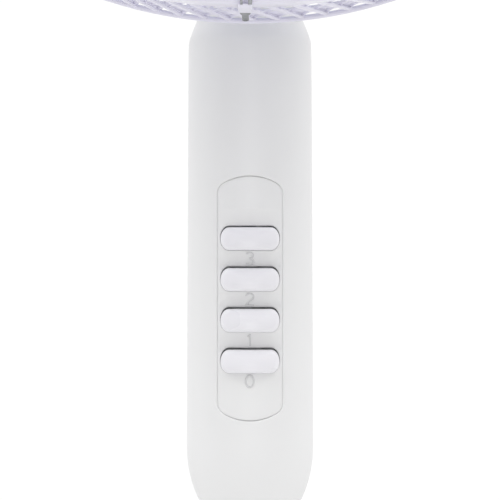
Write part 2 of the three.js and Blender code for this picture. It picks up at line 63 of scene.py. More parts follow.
# ---------------------------------------------------------------- shapes
class Axis(Enum):
    """The axis a profile is turned about."""

    Z = "z"
    Y = "y"
    X = "x"


@dataclass
class Skin:
    """A surface as points in millimetres and faces that index them."""

    points: Array
    faces: list[tuple[int, ...]]

    def moved(self, x: float = 0.0, y: float = 0.0, z: float = 0.0) -> "Skin":
        """Returns the surface shifted by x, y and z."""
        return Skin(self.points + np.array([x, y, z]), self.faces)

    def lifted(self, lift: Callable[[Array], Array]) -> "Skin":
        """Returns the surface with every point passed through lift."""
        return Skin(lift(self.points), self.faces)


def joined(*skins: Skin) -> Skin:
    """Returns several surfaces as one."""
    points, faces, start = [], [], 0
    for skin in skins:
        points.append(skin.points)
        faces += [tuple(int(i) + start for i in face) for face in skin.faces]
        start += len(skin.points)
    return Skin(np.vstack(points), faces)


def grid_faces(rows: int, columns: int, wrap_rows: bool, wrap_columns: bool) -> Array:
    """The quads of a grid of rows by columns points.

    Args:
        rows: how many points in the first direction.
        columns: how many points in the second direction.
        wrap_rows: the last row joins the first.
        wrap_columns: the last column joins the first.

    Returns:
        One row of four point numbers per quad.
    """
    i, j = np.meshgrid(
        np.arange(rows if wrap_rows else rows - 1),
        np.arange(columns if wrap_columns else columns - 1),
        indexing="ij",
    )
    after_i, after_j = (i + 1) % rows, (j + 1) % columns
    corners = [
        i * columns + j,
        i * columns + after_j,
        after_i * columns + after_j,
        after_i * columns + j,
    ]
    return np.stack(corners, -1).reshape(-1, 4)


def rounded(corners: Sequence[tuple[float, ...]], closed: bool = True, steps: int = 5) -> Array:
    """A path of straight lines whose corners are rounded.

    Each corner is (a, b) or (a, b, radius). A corner with a radius becomes a curve between the two
    points that lie radius * tan(half the turn) before and behind it, as a circle of that radius
    has, but never more than half of a line.

    Args:
        corners: the corners in order.
        closed: the path returns to its start.
        steps: points on each rounded corner.

    Returns:
        The points of the path, one row each.
    """
    count = len(corners)
    path = []
    for n, corner in enumerate(corners):
        here = np.array(corner[:2], float)
        radius = corner[2] if len(corner) > 2 else 0.0
        if radius == 0 or (not closed and n in (0, count - 1)):
            path.append(here)
            continue
        back = np.array(corners[n - 1][:2], float) - here
        ahead = np.array(corners[(n + 1) % count][:2], float) - here
        back_length, ahead_length = np.linalg.norm(back), np.linalg.norm(ahead)
        back, ahead = back / back_length, ahead / ahead_length
        half_turn = (math.pi - math.acos(float(np.clip(back @ ahead, -1, 1)))) / 2
        cut = min(radius * math.tan(half_turn), 0.49 * back_length, 0.49 * ahead_length)
        t = np.linspace(0, 1, steps)[:, None]
        start, end = here + back * cut, here + ahead * cut
        middle_pull = (1 - t) ** 2 * start + 2 * t * (1 - t) * here + t**2 * end
        path.extend(middle_pull)
    return np.array(path)


def about(axis: Axis, across: Array, up: Array, h: Array) -> Array:
    """Points across, up and h along an axis, as rows of x, y and z."""
    order = {Axis.Z: (across, up, h), Axis.Y: (across, h, up), Axis.X: (h, across, up)}[axis]
    return np.stack(order, -1).reshape(-1, 3)


def revolved(
    profile: Array, axis: Axis = Axis.Z, segments: int = 96, closed: bool = True
) -> Skin:
    """A profile of (radius, height) turned about an axis: (r cos a, r sin a, h).

    Args:
        profile: the (radius, height) points.
        axis: the axis it is turned about.
        segments: how many steps round the axis.
        closed: the profile returns to its start, so that the surface is a ring. Otherwise it runs
            from the axis back to the axis.

    Returns:
        The surface.
    """
    turn = np.linspace(0, 2 * np.pi, segments, endpoint=False)
    r, h = profile[:, :1], profile[:, 1:2] + 0 * turn
    across, up = r * np.cos(turn), r * np.sin(turn)
    return Skin(about(axis, across, up, h), grid_faces(len(profile), segments, closed, True).tolist())


def fluted(
    profile: Array, flutes: int, depth: Callable[[Array], Array], axis: Axis = Axis.Z
) -> Skin:
    """A turned profile whose radius goes in and out round the axis: r + depth(h) cos(flutes a).

    Args:
        profile: the closed (radius, height) points.
        flutes: how many flutes there are round the axis.
        depth: how far in and out the radius goes at a height.
        axis: the axis it is turned about.

    Returns:
        The surface.
    """
    segments = flutes * 8
    skin = revolved(profile, Axis.Z, segments)
    x, y, h = skin.points.T
    r, a = np.hypot(x, y), np.arctan2(y, x)
    r = r + np.where(r > profile[:, 0].min() + 0.5, depth(h), 0) * np.cos(flutes * a)
    return Skin(about(axis, r * np.cos(a), r * np.sin(a), h), skin.faces)


def tubes(paths: Array, radius: float, across: Array, sides: int = 8, flat: float = 1.0) -> Skin:
    """Round wires along many paths of one length.

    A section is radius * (across cos a + up sin a), where up is the path's direction crossed with
    across. It shrinks to a point at both ends.

    Args:
        paths: (wires, points, 3).
        radius: of the wire.
        across: (wires, 3), a direction square to each path's plane.
        sides: of the section.
        flat: the section's height over its width.

    Returns:
        The surface of all the wires.
    """
    ends = np.concatenate([paths[:, :1], paths, paths[:, -1:]], 1)
    along = np.gradient(paths, axis=1)
    along = np.concatenate([along[:, :1], along, along[:, -1:]], 1)
    along /= np.linalg.norm(along, axis=2, keepdims=True)
    size = np.full(ends.shape[1], radius)
    size[[0, -1]] = 1e-4
    side = across[:, None, :] + 0 * along
    up = np.cross(along, side)
    a = np.linspace(0, 2 * np.pi, sides, endpoint=False)
    ring = (
        side[:, :, None, :] * np.cos(a)[:, None] + flat * up[:, :, None, :] * np.sin(a)[:, None]
    )
    points = ends[:, :, None, :] + size[None, :, None, None] * ring
    quads = grid_faces(ends.shape[1], sides, False, True)
    per_wire = ends.shape[1] * sides
    starts = np.arange(len(paths))[:, None, None] * per_wire
    return Skin(points.reshape(-1, 3), (quads[None] + starts).reshape(-1, 4).tolist())


def distance_to(points: Array, loop: Array) -> Array:
    """The distance of each flat point to a closed outline."""
    start, step = loop, np.roll(loop, -1, axis=0) - loop
    best = np.full(len(points), np.inf)
    for part in np.array_split(np.arange(len(points)), max(1, len(points) // 2000)):
        to = points[part, None, :] - start[None]
        share = np.clip((to * step).sum(2) / (step**2).sum(1), 0, 1)
        best[part] = np.linalg.norm(to - share[..., None] * step, axis=2).min(1)
    return best


def within(points: Array, loop: Array) -> Array:
    """Whether each flat point is inside a closed outline, by counting the edges to its right."""
    x, y = points[:, :1], points[:, 1:2]
    x0, y0 = loop.T
    x1, y1 = np.roll(loop, -1, axis=0).T
    crosses = (y0 > y) != (y1 > y)
    rise = np.where(y1 == y0, 1e-12, y1 - y0)
    return (crosses & (x < x0 + (y - y0) / rise * (x1 - x0))).sum(1) % 2 == 1


def offset(loop: Array, out: float) -> Array:
    """A closed outline moved outwards along its own normals."""
    step = np.roll(loop, -1, axis=0) - np.roll(loop, 1, axis=0)
    normal = np.stack([step[:, 1], -step[:, 0]], 1)
    normal /= np.maximum(np.linalg.norm(normal, axis=1, keepdims=True), 1e-9)
    ahead = np.roll(loop, -1, axis=0)
    area = (loop[:, 0] * ahead[:, 1] - ahead[:, 0] * loop[:, 1]).sum()
    return loop + normal * np.sign(area) * out


def plate(
    outline: Array,
    holes: Sequence[Array],
    spacing: float,
    rims: Sequence[float],
    rows: Sequence[Array] = (),
) -> Skin:
    """A flat plate with holes, as even triangles with z = 0.

    Its inner points are a grid of equal triangles. Finer rows follow the holes at the distances
    in rims, and more can be given where the plate is stepped.

    Args:
        outline: the outer outline.
        holes: the outlines of the holes.
        spacing: between the grid's points.
        rims: distances of the rows round each hole, outside it.
        rows: further outlines whose points the plate has.

    Returns:
        The plate.
    """
    low, high = outline.min(0), outline.max(0)
    x, y = np.meshgrid(
        np.arange(low[0], high[0], spacing), np.arange(low[1], high[1], spacing * 0.87)
    )
    x = x + (np.arange(len(x)) % 2)[:, None] * spacing / 2
    inner = np.stack([x.ravel(), y.ravel()], 1)
    inner = inner[within(inner, outline) & (distance_to(inner, outline) > spacing * 0.45)]
    for hole in holes:
        clear = distance_to(inner, hole) > max(rims, default=0) + spacing * 0.5
        inner = inner[clear & ~within(inner, hole)]
    for row in rows:
        inner = inner[distance_to(inner, row) > spacing * 0.4]
    loops = [outline, *holes]
    extra = [offset(hole, rim) for hole in holes for rim in rims]
    edges, start = [], 0
    for loop in loops:
        edges += [(start + n, start + (n + 1) % len(loop)) for n in range(len(loop))]
        start += len(loop)
    flat = [Vector(point) for point in np.vstack([*loops, *extra, *rows, inner])]
    made, _, faces, *_ = delaunay_2d_cdt(flat, edges, [], 1, 1e-6)
    points = np.array([tuple(point) for point in made])
    corners = np.array([tuple(face) for face in faces])
    middle = points[corners].mean(1)
    keep = within(middle, outline)
    for hole in holes:
        keep &= ~within(middle, hole)
    return Skin(np.column_stack([points, np.zeros(len(points))]), corners[keep].tolist())


def backed(skin: Skin, back: tuple[float, float, float]) -> Skin:
    """An open surface closed by a copy of itself moved by back, and by walls along its edges.

    An edge that only one face has is on the surface's rim, and becomes a quad between the two.
    """
    faces = np.array(skin.faces)
    edges = np.concatenate([faces[:, [0, 1]], faces[:, [1, 2]], faces[:, [2, 0]]])
    _, first, times = np.unique(np.sort(edges, axis=1), axis=0, return_index=True, return_counts=True)
    rim = edges[first[times == 1]]
    count = len(skin.points)
    walls = np.column_stack([rim[:, ::-1], rim + count])
    points = np.vstack([skin.points, skin.points + np.array(back)])
    return Skin(points, faces.tolist() + (faces[:, ::-1] + count).tolist() + walls.tolist())


def travelled(path: Array) -> Array:
    """How far along a path each of its points lies."""
    return np.concatenate([[0], np.cumsum(np.linalg.norm(np.diff(path, axis=0), axis=1))])


def evenly(path: Array, count: int, endpoint: bool = True) -> Array:
    """A path resampled to count points, evenly along its length."""
    length = travelled(path)
    at = np.linspace(0, length[-1], count, endpoint=endpoint)
    return np.stack([np.interp(at, length, path[:, 0]), np.interp(at, length, path[:, 1])], 1)


def resampled(loop: Array, spacing: float) -> Array:
    """A closed outline with points about spacing apart."""
    closed = np.vstack([loop, loop[:1]])
    return evenly(closed, max(int(travelled(closed)[-1] / spacing), 8), endpoint=False)


def rim_drop(distance: Array, radius: float) -> Array:
    """How far a rounded rim lies below its face at d from the edge: r - sqrt(r2 - (r - d)2)."""
    inward = np.clip(radius - distance, 0, radius)
    return radius - np.sqrt(np.maximum(radius**2 - inward**2, 0))


def smooth_step(t: Array) -> Array:
    """3 t2 - 2 t3, held at 0 and 1 outside."""
    t = np.clip(t, 0, 1)
    return t * t * (3 - 2 * t)


# ---------------------------------------------------------------- finishes
def linear(hex_colour: str) -> tuple[float, float, float, float]:
    """An sRGB hex colour as linear red, green, blue and an alpha of 1."""
    parts = [int(hex_colour[n : n + 2], 16) / 255 for n in (1, 3, 5)]
    red, green, blue = (p / 12.92 if p <= 0.04045 else ((p + 0.055) / 1.055) ** 2.4 for p in parts)
    return red, green, blue, 1.0


def add_node(
    tree: bpy.types.NodeTree, kind: str, links: dict[Any, Any], **settings: Any
) -> bpy.types.Node:
    """Adds a node to a material.

    Args:
        tree: the material's node tree.
        kind: the node's type name.
        links: for an input's name or number, another node's output or a plain value.
        settings: the node's own properties.

    Returns:
        The node.
    """
    made = tree.nodes.new(kind)
    for name, value in settings.items():
        setattr(made, name, value)
    for name, value in links.items():
        if isinstance(value, bpy.types.NodeSocket):
            tree.links.new(value, made.inputs[name])
        else:
            made.inputs[name].default_value = value
    return made


def noise(
    tree: bpy.types.NodeTree, place: bpy.types.NodeSocket, size_mm: float, detail: float
) -> bpy.types.NodeSocket:
    """Noise whose largest features are about size_mm across, as a factor from 0 to 1."""
    links = {"Vector": place, "Scale": 1 / (size_mm * MM), "Detail": detail}
    return add_node(tree, "ShaderNodeTexNoise", links).outputs["Fac"]


class Pattern(Enum):
    """What a surface shows besides its grain."""

    PLAIN = "plain"
    DRAWN = "drawn"  # fine lines along Z, as on a drawn or ground tube
    SHEETS = "sheets"  # stacked sheets across Y
    COILS = "coils"  # wire wound round the Y axis of the head
    CAST = "cast"  # a sand-cast or die-cast skin


@dataclass(frozen=True)
class Finish:
    """What a surface is made of and how it was made."""

    name: str
    colour: str
    roughness: float
    metallic: float = 0.0
    ior: float = 1.5
    shade: float = 0.02  # how much the colour wanders
    shade_mm: float = 45.0  # over what distance
    grain_mm: float = 1.2  # size of the surface's own texture
    grain_depth_mm: float = 0.01
    wear: float = 0.04  # how much the roughness wanders
    coat: float = 0.0
    pattern: Pattern = Pattern.PLAIN

    def material(self) -> bpy.types.Material:
        """Returns the material, which is made the first time it is asked for."""
        known = bpy.data.materials.get(self.name)
        if known:
            return known
        made = bpy.data.materials.new(self.name)
        made.use_nodes = True
        tree = made.node_tree
        tree.nodes.clear()
        place = add_node(tree, "ShaderNodeTexCoord", {}).outputs["Object"]
        colour = self._colour(tree, place)
        bump = self._bump(tree, place)
        limits = {
            "Value": noise(tree, place, self.shade_mm * 0.5, 3.0),
            "From Min": 0.3,
            "From Max": 0.7,
            "To Min": max(self.roughness - self.wear, 0.02),
            "To Max": self.roughness + self.wear,
        }
        roughness = add_node(tree, "ShaderNodeMapRange", limits)
        settings = {
            "Base Color": colour,
            "Roughness": roughness.outputs["Result"],
            "Normal": bump,
            "Metallic": self.metallic,
            "IOR": self.ior,
            "Coat Weight": self.coat,
        }
        shader = add_node(tree, "ShaderNodeBsdfPrincipled", settings)
        add_node(tree, "ShaderNodeOutputMaterial", {"Surface": shader.outputs["BSDF"]})
        made.diffuse_color = linear(self.colour)
        return made

    def _colour(self, tree: bpy.types.NodeTree, place: bpy.types.NodeSocket) -> bpy.types.NodeSocket:
        """The base colour, wandering a little lighter and darker, with the pattern's own dark lines."""
        red, green, blue, _ = linear(self.colour)
        low, high = 1 - self.shade, 1 + self.shade
        clouds = noise(tree, place, self.shade_mm, 4.0)
        clouds.node.inputs["Roughness"].default_value = 0.6
        ramp = add_node(tree, "ShaderNodeValToRGB", {"Fac": clouds})
        for end, position, level in zip(ramp.color_ramp.elements, (0.3, 0.7), (low, high)):
            end.position = position
            end.color = (*(min(part * level, 1) for part in (red, green, blue)), 1)
        if self.pattern in (Pattern.PLAIN, Pattern.CAST):
            return ramp.outputs["Color"]
        dark = {Pattern.SHEETS: 0.55, Pattern.COILS: 0.35, Pattern.DRAWN: 0.93}[self.pattern]
        lines = self._lines(tree, place)
        ends = {0: lines, 6: ramp.outputs["Color"], 7: (red * dark, green * dark, blue * dark, 1)}
        return add_node(tree, "ShaderNodeMix", ends, data_type="RGBA").outputs[2]

    def _lines(self, tree: bpy.types.NodeTree, place: bpy.types.NodeSocket) -> bpy.types.NodeSocket:
        """The pattern's lines as a factor from 0 to 1.

        The sheets are 0.5 mm thick and the wire 0.4 mm: both are drawn 1.6 mm apart, because finer
        lines would not show.
        """
        if self.pattern is Pattern.DRAWN:
            stretched = add_node(
                tree, "ShaderNodeMapping", {"Vector": place, "Scale": (1.0, 1.0, 0.02)}
            )
            return noise(tree, stretched.outputs["Vector"], 0.8, 2.0)
        centred = add_node(
            tree, "ShaderNodeMapping", {"Vector": place, "Location": (0.0, 0.0, -HEAD_Z * MM)}
        )
        wave = {"Vector": centred.outputs["Vector"], "Scale": 0.314 / (1.6 * MM), "Distortion": 0.3}
        if self.pattern is Pattern.SHEETS:
            kind = {"wave_type": "BANDS", "bands_direction": "Y"}
        else:
            kind = {"wave_type": "RINGS", "rings_direction": "Y"}
        return add_node(tree, "ShaderNodeTexWave", wave, **kind).outputs["Fac"]

    def _bump(self, tree: bpy.types.NodeTree, place: bpy.types.NodeSocket) -> bpy.types.NodeSocket:
        """The surface's own texture as a normal: fine noise, and for a casting pits as well."""
        height = noise(tree, place, self.grain_mm, 3.0)
        if self.pattern is Pattern.CAST:
            pits = add_node(
                tree,
                "ShaderNodeTexVoronoi",
                {"Vector": place, "Scale": 1 / (2.2 * self.grain_mm * MM)},
            ).outputs["Distance"]
            height = add_node(tree, "ShaderNodeMath", {0: height, 1: pits}, operation="ADD").outputs[0]
        elif self.pattern is not Pattern.PLAIN:
            lines = self._lines(tree, place)
            height = add_node(tree, "ShaderNodeMath", {0: height, 1: lines}, operation="ADD").outputs[0]
        return add_node(
            tree,
            "ShaderNodeBump",
            {"Height": height, "Strength": 1.0, "Distance": self.grain_depth_mm * MM},
        ).outputs["Normal"]


# Satin ABS straight from a fine-grained mould: soft highlights, an even off-white.
SATIN_ABS = Finish(
    "satin_moulded_abs", "#eeeeee", 0.42, ior=1.54, shade=0.008, grain_mm=0.9, grain_depth_mm=0.006,
)
# The raised digits: the column's ABS painted a little darker, as painted shade standing in for the
# shading of their low relief.
DIGIT_ABS_PAINTED_SHADE = Finish("digit_abs_painted_shade", "#dadadb", 0.42, shade=0.01, shade_mm=20, grain_mm=0.6)
# Polished-mould ABS of the keys: a little glossier and cooler than the column.
KEY_ABS = Finish(
    "smooth_key_abs", "#efeef2", 0.30, ior=1.54, shade=0.006, grain_mm=2.5, grain_depth_mm=0.004,
)
# Powder paint over steel wire: slightly lavender white with orange peel.
WIRE_COAT = Finish(
    "powder_coated_wire", "#e8e6f3", 0.32, shade=0.02, grain_mm=1.6, grain_depth_mm=0.02,
    coat=0.2,
)
# Powder paint on the outer pole tube.
TUBE_COAT = Finish(
    "powder_coated_tube", "#e6e6e8", 0.35, shade=0.012, grain_mm=1.4, grain_depth_mm=0.015,
    coat=0.15,
)
# Bright chromium plate on a drawn tube: sharp reflections with faint lines along it.
CHROME = Finish(
    "chrome_plated_tube", "#d4d6d9", 0.09, metallic=1.0, shade=0.01, wear=0.03, pattern=Pattern.DRAWN,
    grain_depth_mm=0.002,
)
# Ground shaft steel.
GROUND_STEEL = Finish(
    "ground_steel", "#b4b6b9", 0.22, metallic=1.0, wear=0.05, pattern=Pattern.DRAWN,
    grain_depth_mm=0.003,
)
# Zinc-plated pressed steel: greyish, dull shine with cloudy patches.
ZINC_STEEL = Finish(
    "zinc_plated_steel", "#8f9193", 0.38, metallic=1.0, shade=0.1, shade_mm=6, wear=0.1, grain_mm=0.8,
)
# Die-cast aluminium of the motor and gearbox housings.
DIE_CAST = Finish(
    "die_cast_aluminium", "#b0b1b3", 0.5, metallic=1.0, shade=0.06, shade_mm=12, grain_mm=1.1,
    grain_depth_mm=0.05, pattern=Pattern.CAST,
)
# The cast iron weight in the base, with black dip paint.
CAST_IRON = Finish(
    "painted_cast_iron", "#2b2b2d", 0.6, shade=0.08, shade_mm=25, grain_mm=2.4,
    grain_depth_mm=0.2, pattern=Pattern.CAST,
)
# Enamelled copper wire, wound.
COPPER_WIRE = Finish(
    "enamelled_copper_wire", "#a3532a", 0.3, metallic=1.0, shade=0.08, shade_mm=8, grain_depth_mm=0.25,
    pattern=Pattern.COILS,
)
# Stacked electrical steel sheets.
LAMINATIONS = Finish(
    "laminated_steel", "#7d7f83", 0.42, metallic=1.0, shade=0.08, shade_mm=10, grain_depth_mm=0.15,
    pattern=Pattern.SHEETS,
)
# Oil-filled sintered bronze of the bearings.
SINTERED_BRONZE = Finish(
    "sintered_bronze", "#9a7040", 0.45, metallic=1.0, shade=0.06, shade_mm=3, grain_mm=0.5,
    grain_depth_mm=0.03,
)
# Black ABS of small fittings.
BLACK_ABS = Finish(
    "black_moulded_abs", "#2a2b2d", 0.4, ior=1.54, shade=0.05, grain_mm=0.7, grain_depth_mm=0.01,
)
# Moulded rubber of the feet: matt, with a dusty bloom.
RUBBER = Finish(
    "moulded_rubber", "#1f1f20", 0.82, ior=1.52, shade=0.12, shade_mm=5, grain_mm=0.6,
    grain_depth_mm=0.03,
)
# Unpainted polyamide of bushes and the crank: waxy, slightly yellow.
POLYAMIDE = Finish("natural_polyamide", "#dad9cf", 0.45, ior=1.53, shade=0.03, shade_mm=15, grain_mm=0.8)
# Glossy styrene copolymer of the blade: a bluish white that shines.
BLADE_PLASTIC = Finish(
    "glossy_blade_plastic", "#cfd8e4", 0.16, ior=1.57, shade=0.02, grain_mm=6, grain_depth_mm=0.01,
    coat=0.3,
)

SLOT_FINISH: dict[str, Finish] = {
    "white_plastic": SATIN_ABS,
    "key_plastic": KEY_ABS,
    "white_paint": TUBE_COAT,
    "wire_paint": WIRE_COAT,
    "chrome": CHROME,
    "bright_steel": GROUND_STEEL,
    "steel": ZINC_STEEL,
    "casting": DIE_CAST,
    "cast_base": CAST_IRON,
    "copper": COPPER_WIRE,
    "bronze": SINTERED_BRONZE,
    "dark_plastic": BLACK_ABS,
    "rubber": RUBBER,
    "nylon": POLYAMIDE,
    "blade_plastic": BLADE_PLASTIC,
}


# ---------------------------------------------------------------- pieces
def make_piece(
    name: str,
    skin: Skin,
    body: str,
    slot: str,
    stands_for: Sequence[str] = (),
    wall: float = 0.0,
    sharp: float = 38.0,
    closed: bool = True,
    finish: Finish | None = None,
) -> bpy.types.Object:
    """Makes a finished piece of a surface.

    Args:
        name: the piece's name.
        skin: its surface, in millimetres.
        body: the CAD body it moves with.
        slot: the record's material slot it takes its finish from.
        stands_for: the CAD nodes that it replaces.
        wall: thickness given to an open surface, inwards.
        sharp: edges that turn by more than this angle, in degrees, stay sharp.
        closed: the surface is closed, so that its faces can be turned outwards.
        finish: its finish, where that is not the slot's own.

    Returns:
        The piece's object.
    """
    mesh = bpy.data.meshes.new(name)
    mesh.from_pydata((skin.points * MM).tolist(), [], skin.faces)
    edit = bmesh.new()
    edit.from_mesh(mesh)
    bmesh.ops.remove_doubles(edit, verts=edit.verts, dist=2e-6)
    bmesh.ops.dissolve_degenerate(edit, edges=edit.edges, dist=1e-7)
    if closed:
        bmesh.ops.recalc_face_normals(edit, faces=edit.faces)
    edit.to_mesh(mesh)
    edit.free()
    mesh.shade_smooth()
    mesh.set_sharp_from_angle(angle=math.radians(sharp))
    made = bpy.data.objects.new(name, mesh)
    bpy.context.scene.collection.objects.link(made)
    if wall:  # measured inwards, since an open surface's faces look outwards
        thicken = made.modifiers.new("wall", "SOLIDIFY")
        thicken.thickness = wall * MM
        thicken.offset = -1
        thicken.use_even_offset = False
    mesh.materials.append((finish or SLOT_FINISH[slot]).material())
    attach(made, body)
    if stands_for:
        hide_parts(*stands_for)
    LOG.info("%s rides on %s: %d faces", name, body, len(mesh.polygons))
    return made


def turned(
    name: str,
    corners: Sequence[tuple[float, ...]],
    body: str,
    slot: str,
    node: str,
    axis: Axis = Axis.Z,
    segments: int = 96,
    steps: int = 5,
    at: tuple[float, float, float] = (0.0, 0.0, 0.0),
) -> None:
    """Makes a piece that is one closed profile turned about an axis.

    Args:
        name: the piece's name.
        corners: the profile's (radius, height, rounding) corners.
        body: the CAD body it moves with.
        slot: its material slot.
        node: the CAD node that it replaces.
        axis: the axis it is turned about.
        segments: how many steps round the axis.
        steps: points on each rounded corner.
        at: where its origin lies.
    """
    skin = revolved(rounded(corners, steps=steps), axis, segments).moved(*at)
    make_piece(name, skin, body, slot, [node])


def softened(node: str, body: str, slot: str, bevel: float) -> bpy.types.Object:
    """A CAD node's copy whose doubles are merged and whose edges are rounded.

    Args:
        node: the CAD node.
        body: the body it rides on.
        slot: its material slot.
        bevel: radius of its edges, in millimetres.

    Returns:
        The piece that replaces the node.
    """
    corner = math.radians(35)  # an edge that turns by more than this is rounded
    mesh = frame["nodes"][node].data.copy()
    mesh.name = node + "_rounded"
    edit = bmesh.new()
    edit.from_mesh(mesh)
    bmesh.ops.remove_doubles(edit, verts=edit.verts, dist=1e-6)
    bmesh.ops.dissolve_limit(
        edit, angle_limit=math.radians(1), verts=edit.verts, edges=edit.edges
    )
    edit.to_mesh(mesh)
    edit.free()
    mesh.shade_smooth()
    mesh.materials.clear()
    mesh.materials.append(SLOT_FINISH[slot].material())
    made = bpy.data.objects.new(mesh.name, mesh)
    bpy.context.scene.collection.objects.link(made)
    round_off = made.modifiers.new("edges", "BEVEL")
    round_off.width = bevel * MM
    round_off.segments = 2
    round_off.limit_method = "ANGLE"
    round_off.angle_limit = corner
    round_off.harden_normals = True
    mesh.set_sharp_from_angle(angle=corner)
    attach(made, body)
    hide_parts(node)
    LOG.info("%s rides on %s", made.name, body)
    return made


# ---------------------------------------------------------------- base and pole
@dataclass
class Stand:
    """The round base, the outer pole tube and the collar that clamps the inner tube."""

    radius: float = 200.0
    tube_radius: float = 14.5
    tube_top: float = 329.5

    def build(self) -> None:
        """Builds the base cover, the tubes and the collar."""
        self._cover()
        tube = [
            (13, 16.6), (self.tube_radius, 16.6), (self.tube_radius, self.tube_top, 0.5),
            (13, self.tube_top, 0.5),
        ]
        turned("outer_tube_painted", tube, "base", "white_paint", "outer_tube")
        inner = [(9.8, 52, 0.4), (11, 52, 0.4), (11, 418, 0.4), (9.8, 418, 0.4)]
        turned("inner_tube_chromed", inner, "column", "chrome", "inner_tube")
        seat = [
            (15, 288), (19.5, 288, 1.5), (20.5, 292, 1), (20.5, 311, 0.8), (17.5, 311),
            (17.5, 328, 0.6), (15, 328),
        ]
        turned("collar_seat_turned", seat, "base", "white_plastic", "collar_seat")
        self._collar()
        for node in ("foot_1", "foot_2", "foot_3", "foot_4"):
            softened(node, "base", "rubber", 0.8)
        for node in ("pole_bolt", "pole_flange"):
            softened(node, "base", "steel", 0.4)

    def _cover(self) -> None:
        """The shallow dome with its stepped boss, a turned shell 3 mm thick."""
        profile = [
            (15, 72, 0.6), (19, 72, 1.2), (19, 64, 4), (24, 50, 10), (38, 40, 14), (150, 26, 80),
            (190, 19, 14), (self.radius, 11, 4), (self.radius, 5, 0.8), (197, 5, 0.8), (197, 9, 3),
            (188, 16, 12), (149, 23, 80), (35, 37, 12), (19, 48, 8), (15, 60, 0.5),
        ]
        turned(
            "base_cover_shell", profile, "base", "white_plastic", "base_cover", segments=160, steps=8
        )

    def _collar(self) -> None:
        """The clamping collar: a turned nut with rounded finger flutes round its middle."""
        profile = rounded(
            [
                (18, 312, 0.4), (21.4, 312, 0.8), (22.1, 320, 4), (21.1, 338, 6), (17, 350, 1.5),
                (11.6, 350, 0.4), (11.6, 345), (14.8, 345), (14.8, 331), (18, 330),
            ],
            steps=6,
        )
        dense = resampled(profile, 1.0)

        def depth(h: Array) -> Array:
            """Deepest at the collar's middle, nothing at its ends."""
            return 0.36 * smooth_step((h - 314) / 5) * smooth_step((341 - h) / 6)

        skin = fluted(dense, 24, depth)
        make_piece("collar_nut_fluted", skin, "collar", "white_plastic", ["collar_nut"], sharp=50)


# ---------------------------------------------------------------- control column
@dataclass
class ColumnShape:
    """The outer form of the control column: an oval section that changes with height."""

    tip_z: float = 360.0
    low_half: float = 31.0
    high_half: float = 30.15
    end_rise: float = 45.0
    flat_z: float = 366.2
    shoulder_z: float = 602.8
    shoulder_slope: float = 0.416
    neck_half: float = 17.6
    top_z: float = 651.8
    depth_ratio: float = 0.9
    hole: float = 11.6

    def half(self, z: Array) -> Array:
        """The half width at height z.

        The lower end is a quarter of an ellipse, the body narrows evenly, and the shoulder is a
        cone. Where two of these meet, a square root rounds the corner between them.
        """
        lift = np.clip((z - self.tip_z) / self.end_rise, 0, 1)
        end = self.low_half * np.sqrt(np.clip(1 - (1 - lift) ** 2, 0, 1))
        share = np.clip(
            (z - self.tip_z - self.end_rise) / (self.shoulder_z - self.tip_z - self.end_rise), 0, 2,
        )
        body = end + (self.high_half - self.low_half) * share
        cone = self.high_half + (self.shoulder_z - z) * self.shoulder_slope
        shoulder = (body + cone) / 2 - np.sqrt(((body - cone) / 2) ** 2 + 0.2)
        neck = (shoulder + self.neck_half) / 2 + np.sqrt(((shoulder - self.neck_half) / 2) ** 2 + 0.15)
        return np.where(z > self.shoulder_z - 20, neck, body)

    def front(self, x: Array, z: Array) -> Array:
        """y of the column's front face at x and z."""
        a = self.half(z)
        return -self.depth_ratio * np.sqrt(np.maximum(a * a - x * x, 0.01))

    def profile(self) -> tuple[Array, Array, Array, Array]:
        """The shell's line from its lower hole to its top.

        Returns:
            Distance along the line, half width, height, and depth over width. The hole is round
            and the rest of the section is oval, so the ratio goes from 1 to depth_ratio over the
            flat end.
        """
        heights = np.concatenate(
            [
                self.tip_z + self.end_rise * (1 - np.cos(np.linspace(0.52, np.pi / 2, 60))),
                np.linspace(self.tip_z + self.end_rise, self.top_z, 300)[1:],
            ]
        )
        heights = heights[heights > self.flat_z + 0.9]
        sides = self.half(heights)
        edge = float(self.half(np.array([self.flat_z + 0.9]))[0])
        flat = np.linspace(self.hole, edge - 1.0, 6)
        a = np.concatenate([flat, [edge - 0.35], sides])
        z = np.concatenate([np.full(6, self.flat_z), [self.flat_z + 0.3], heights])
        ratio = 1 + (self.depth_ratio - 1) * smooth_step((a - self.hole) / 5)
        ratio = np.where(z > self.flat_z + 0.2, self.depth_ratio, ratio)
        along = np.concatenate([[0], np.cumsum(np.hypot(np.diff(a), np.diff(z)))])
        return along, a, z, ratio


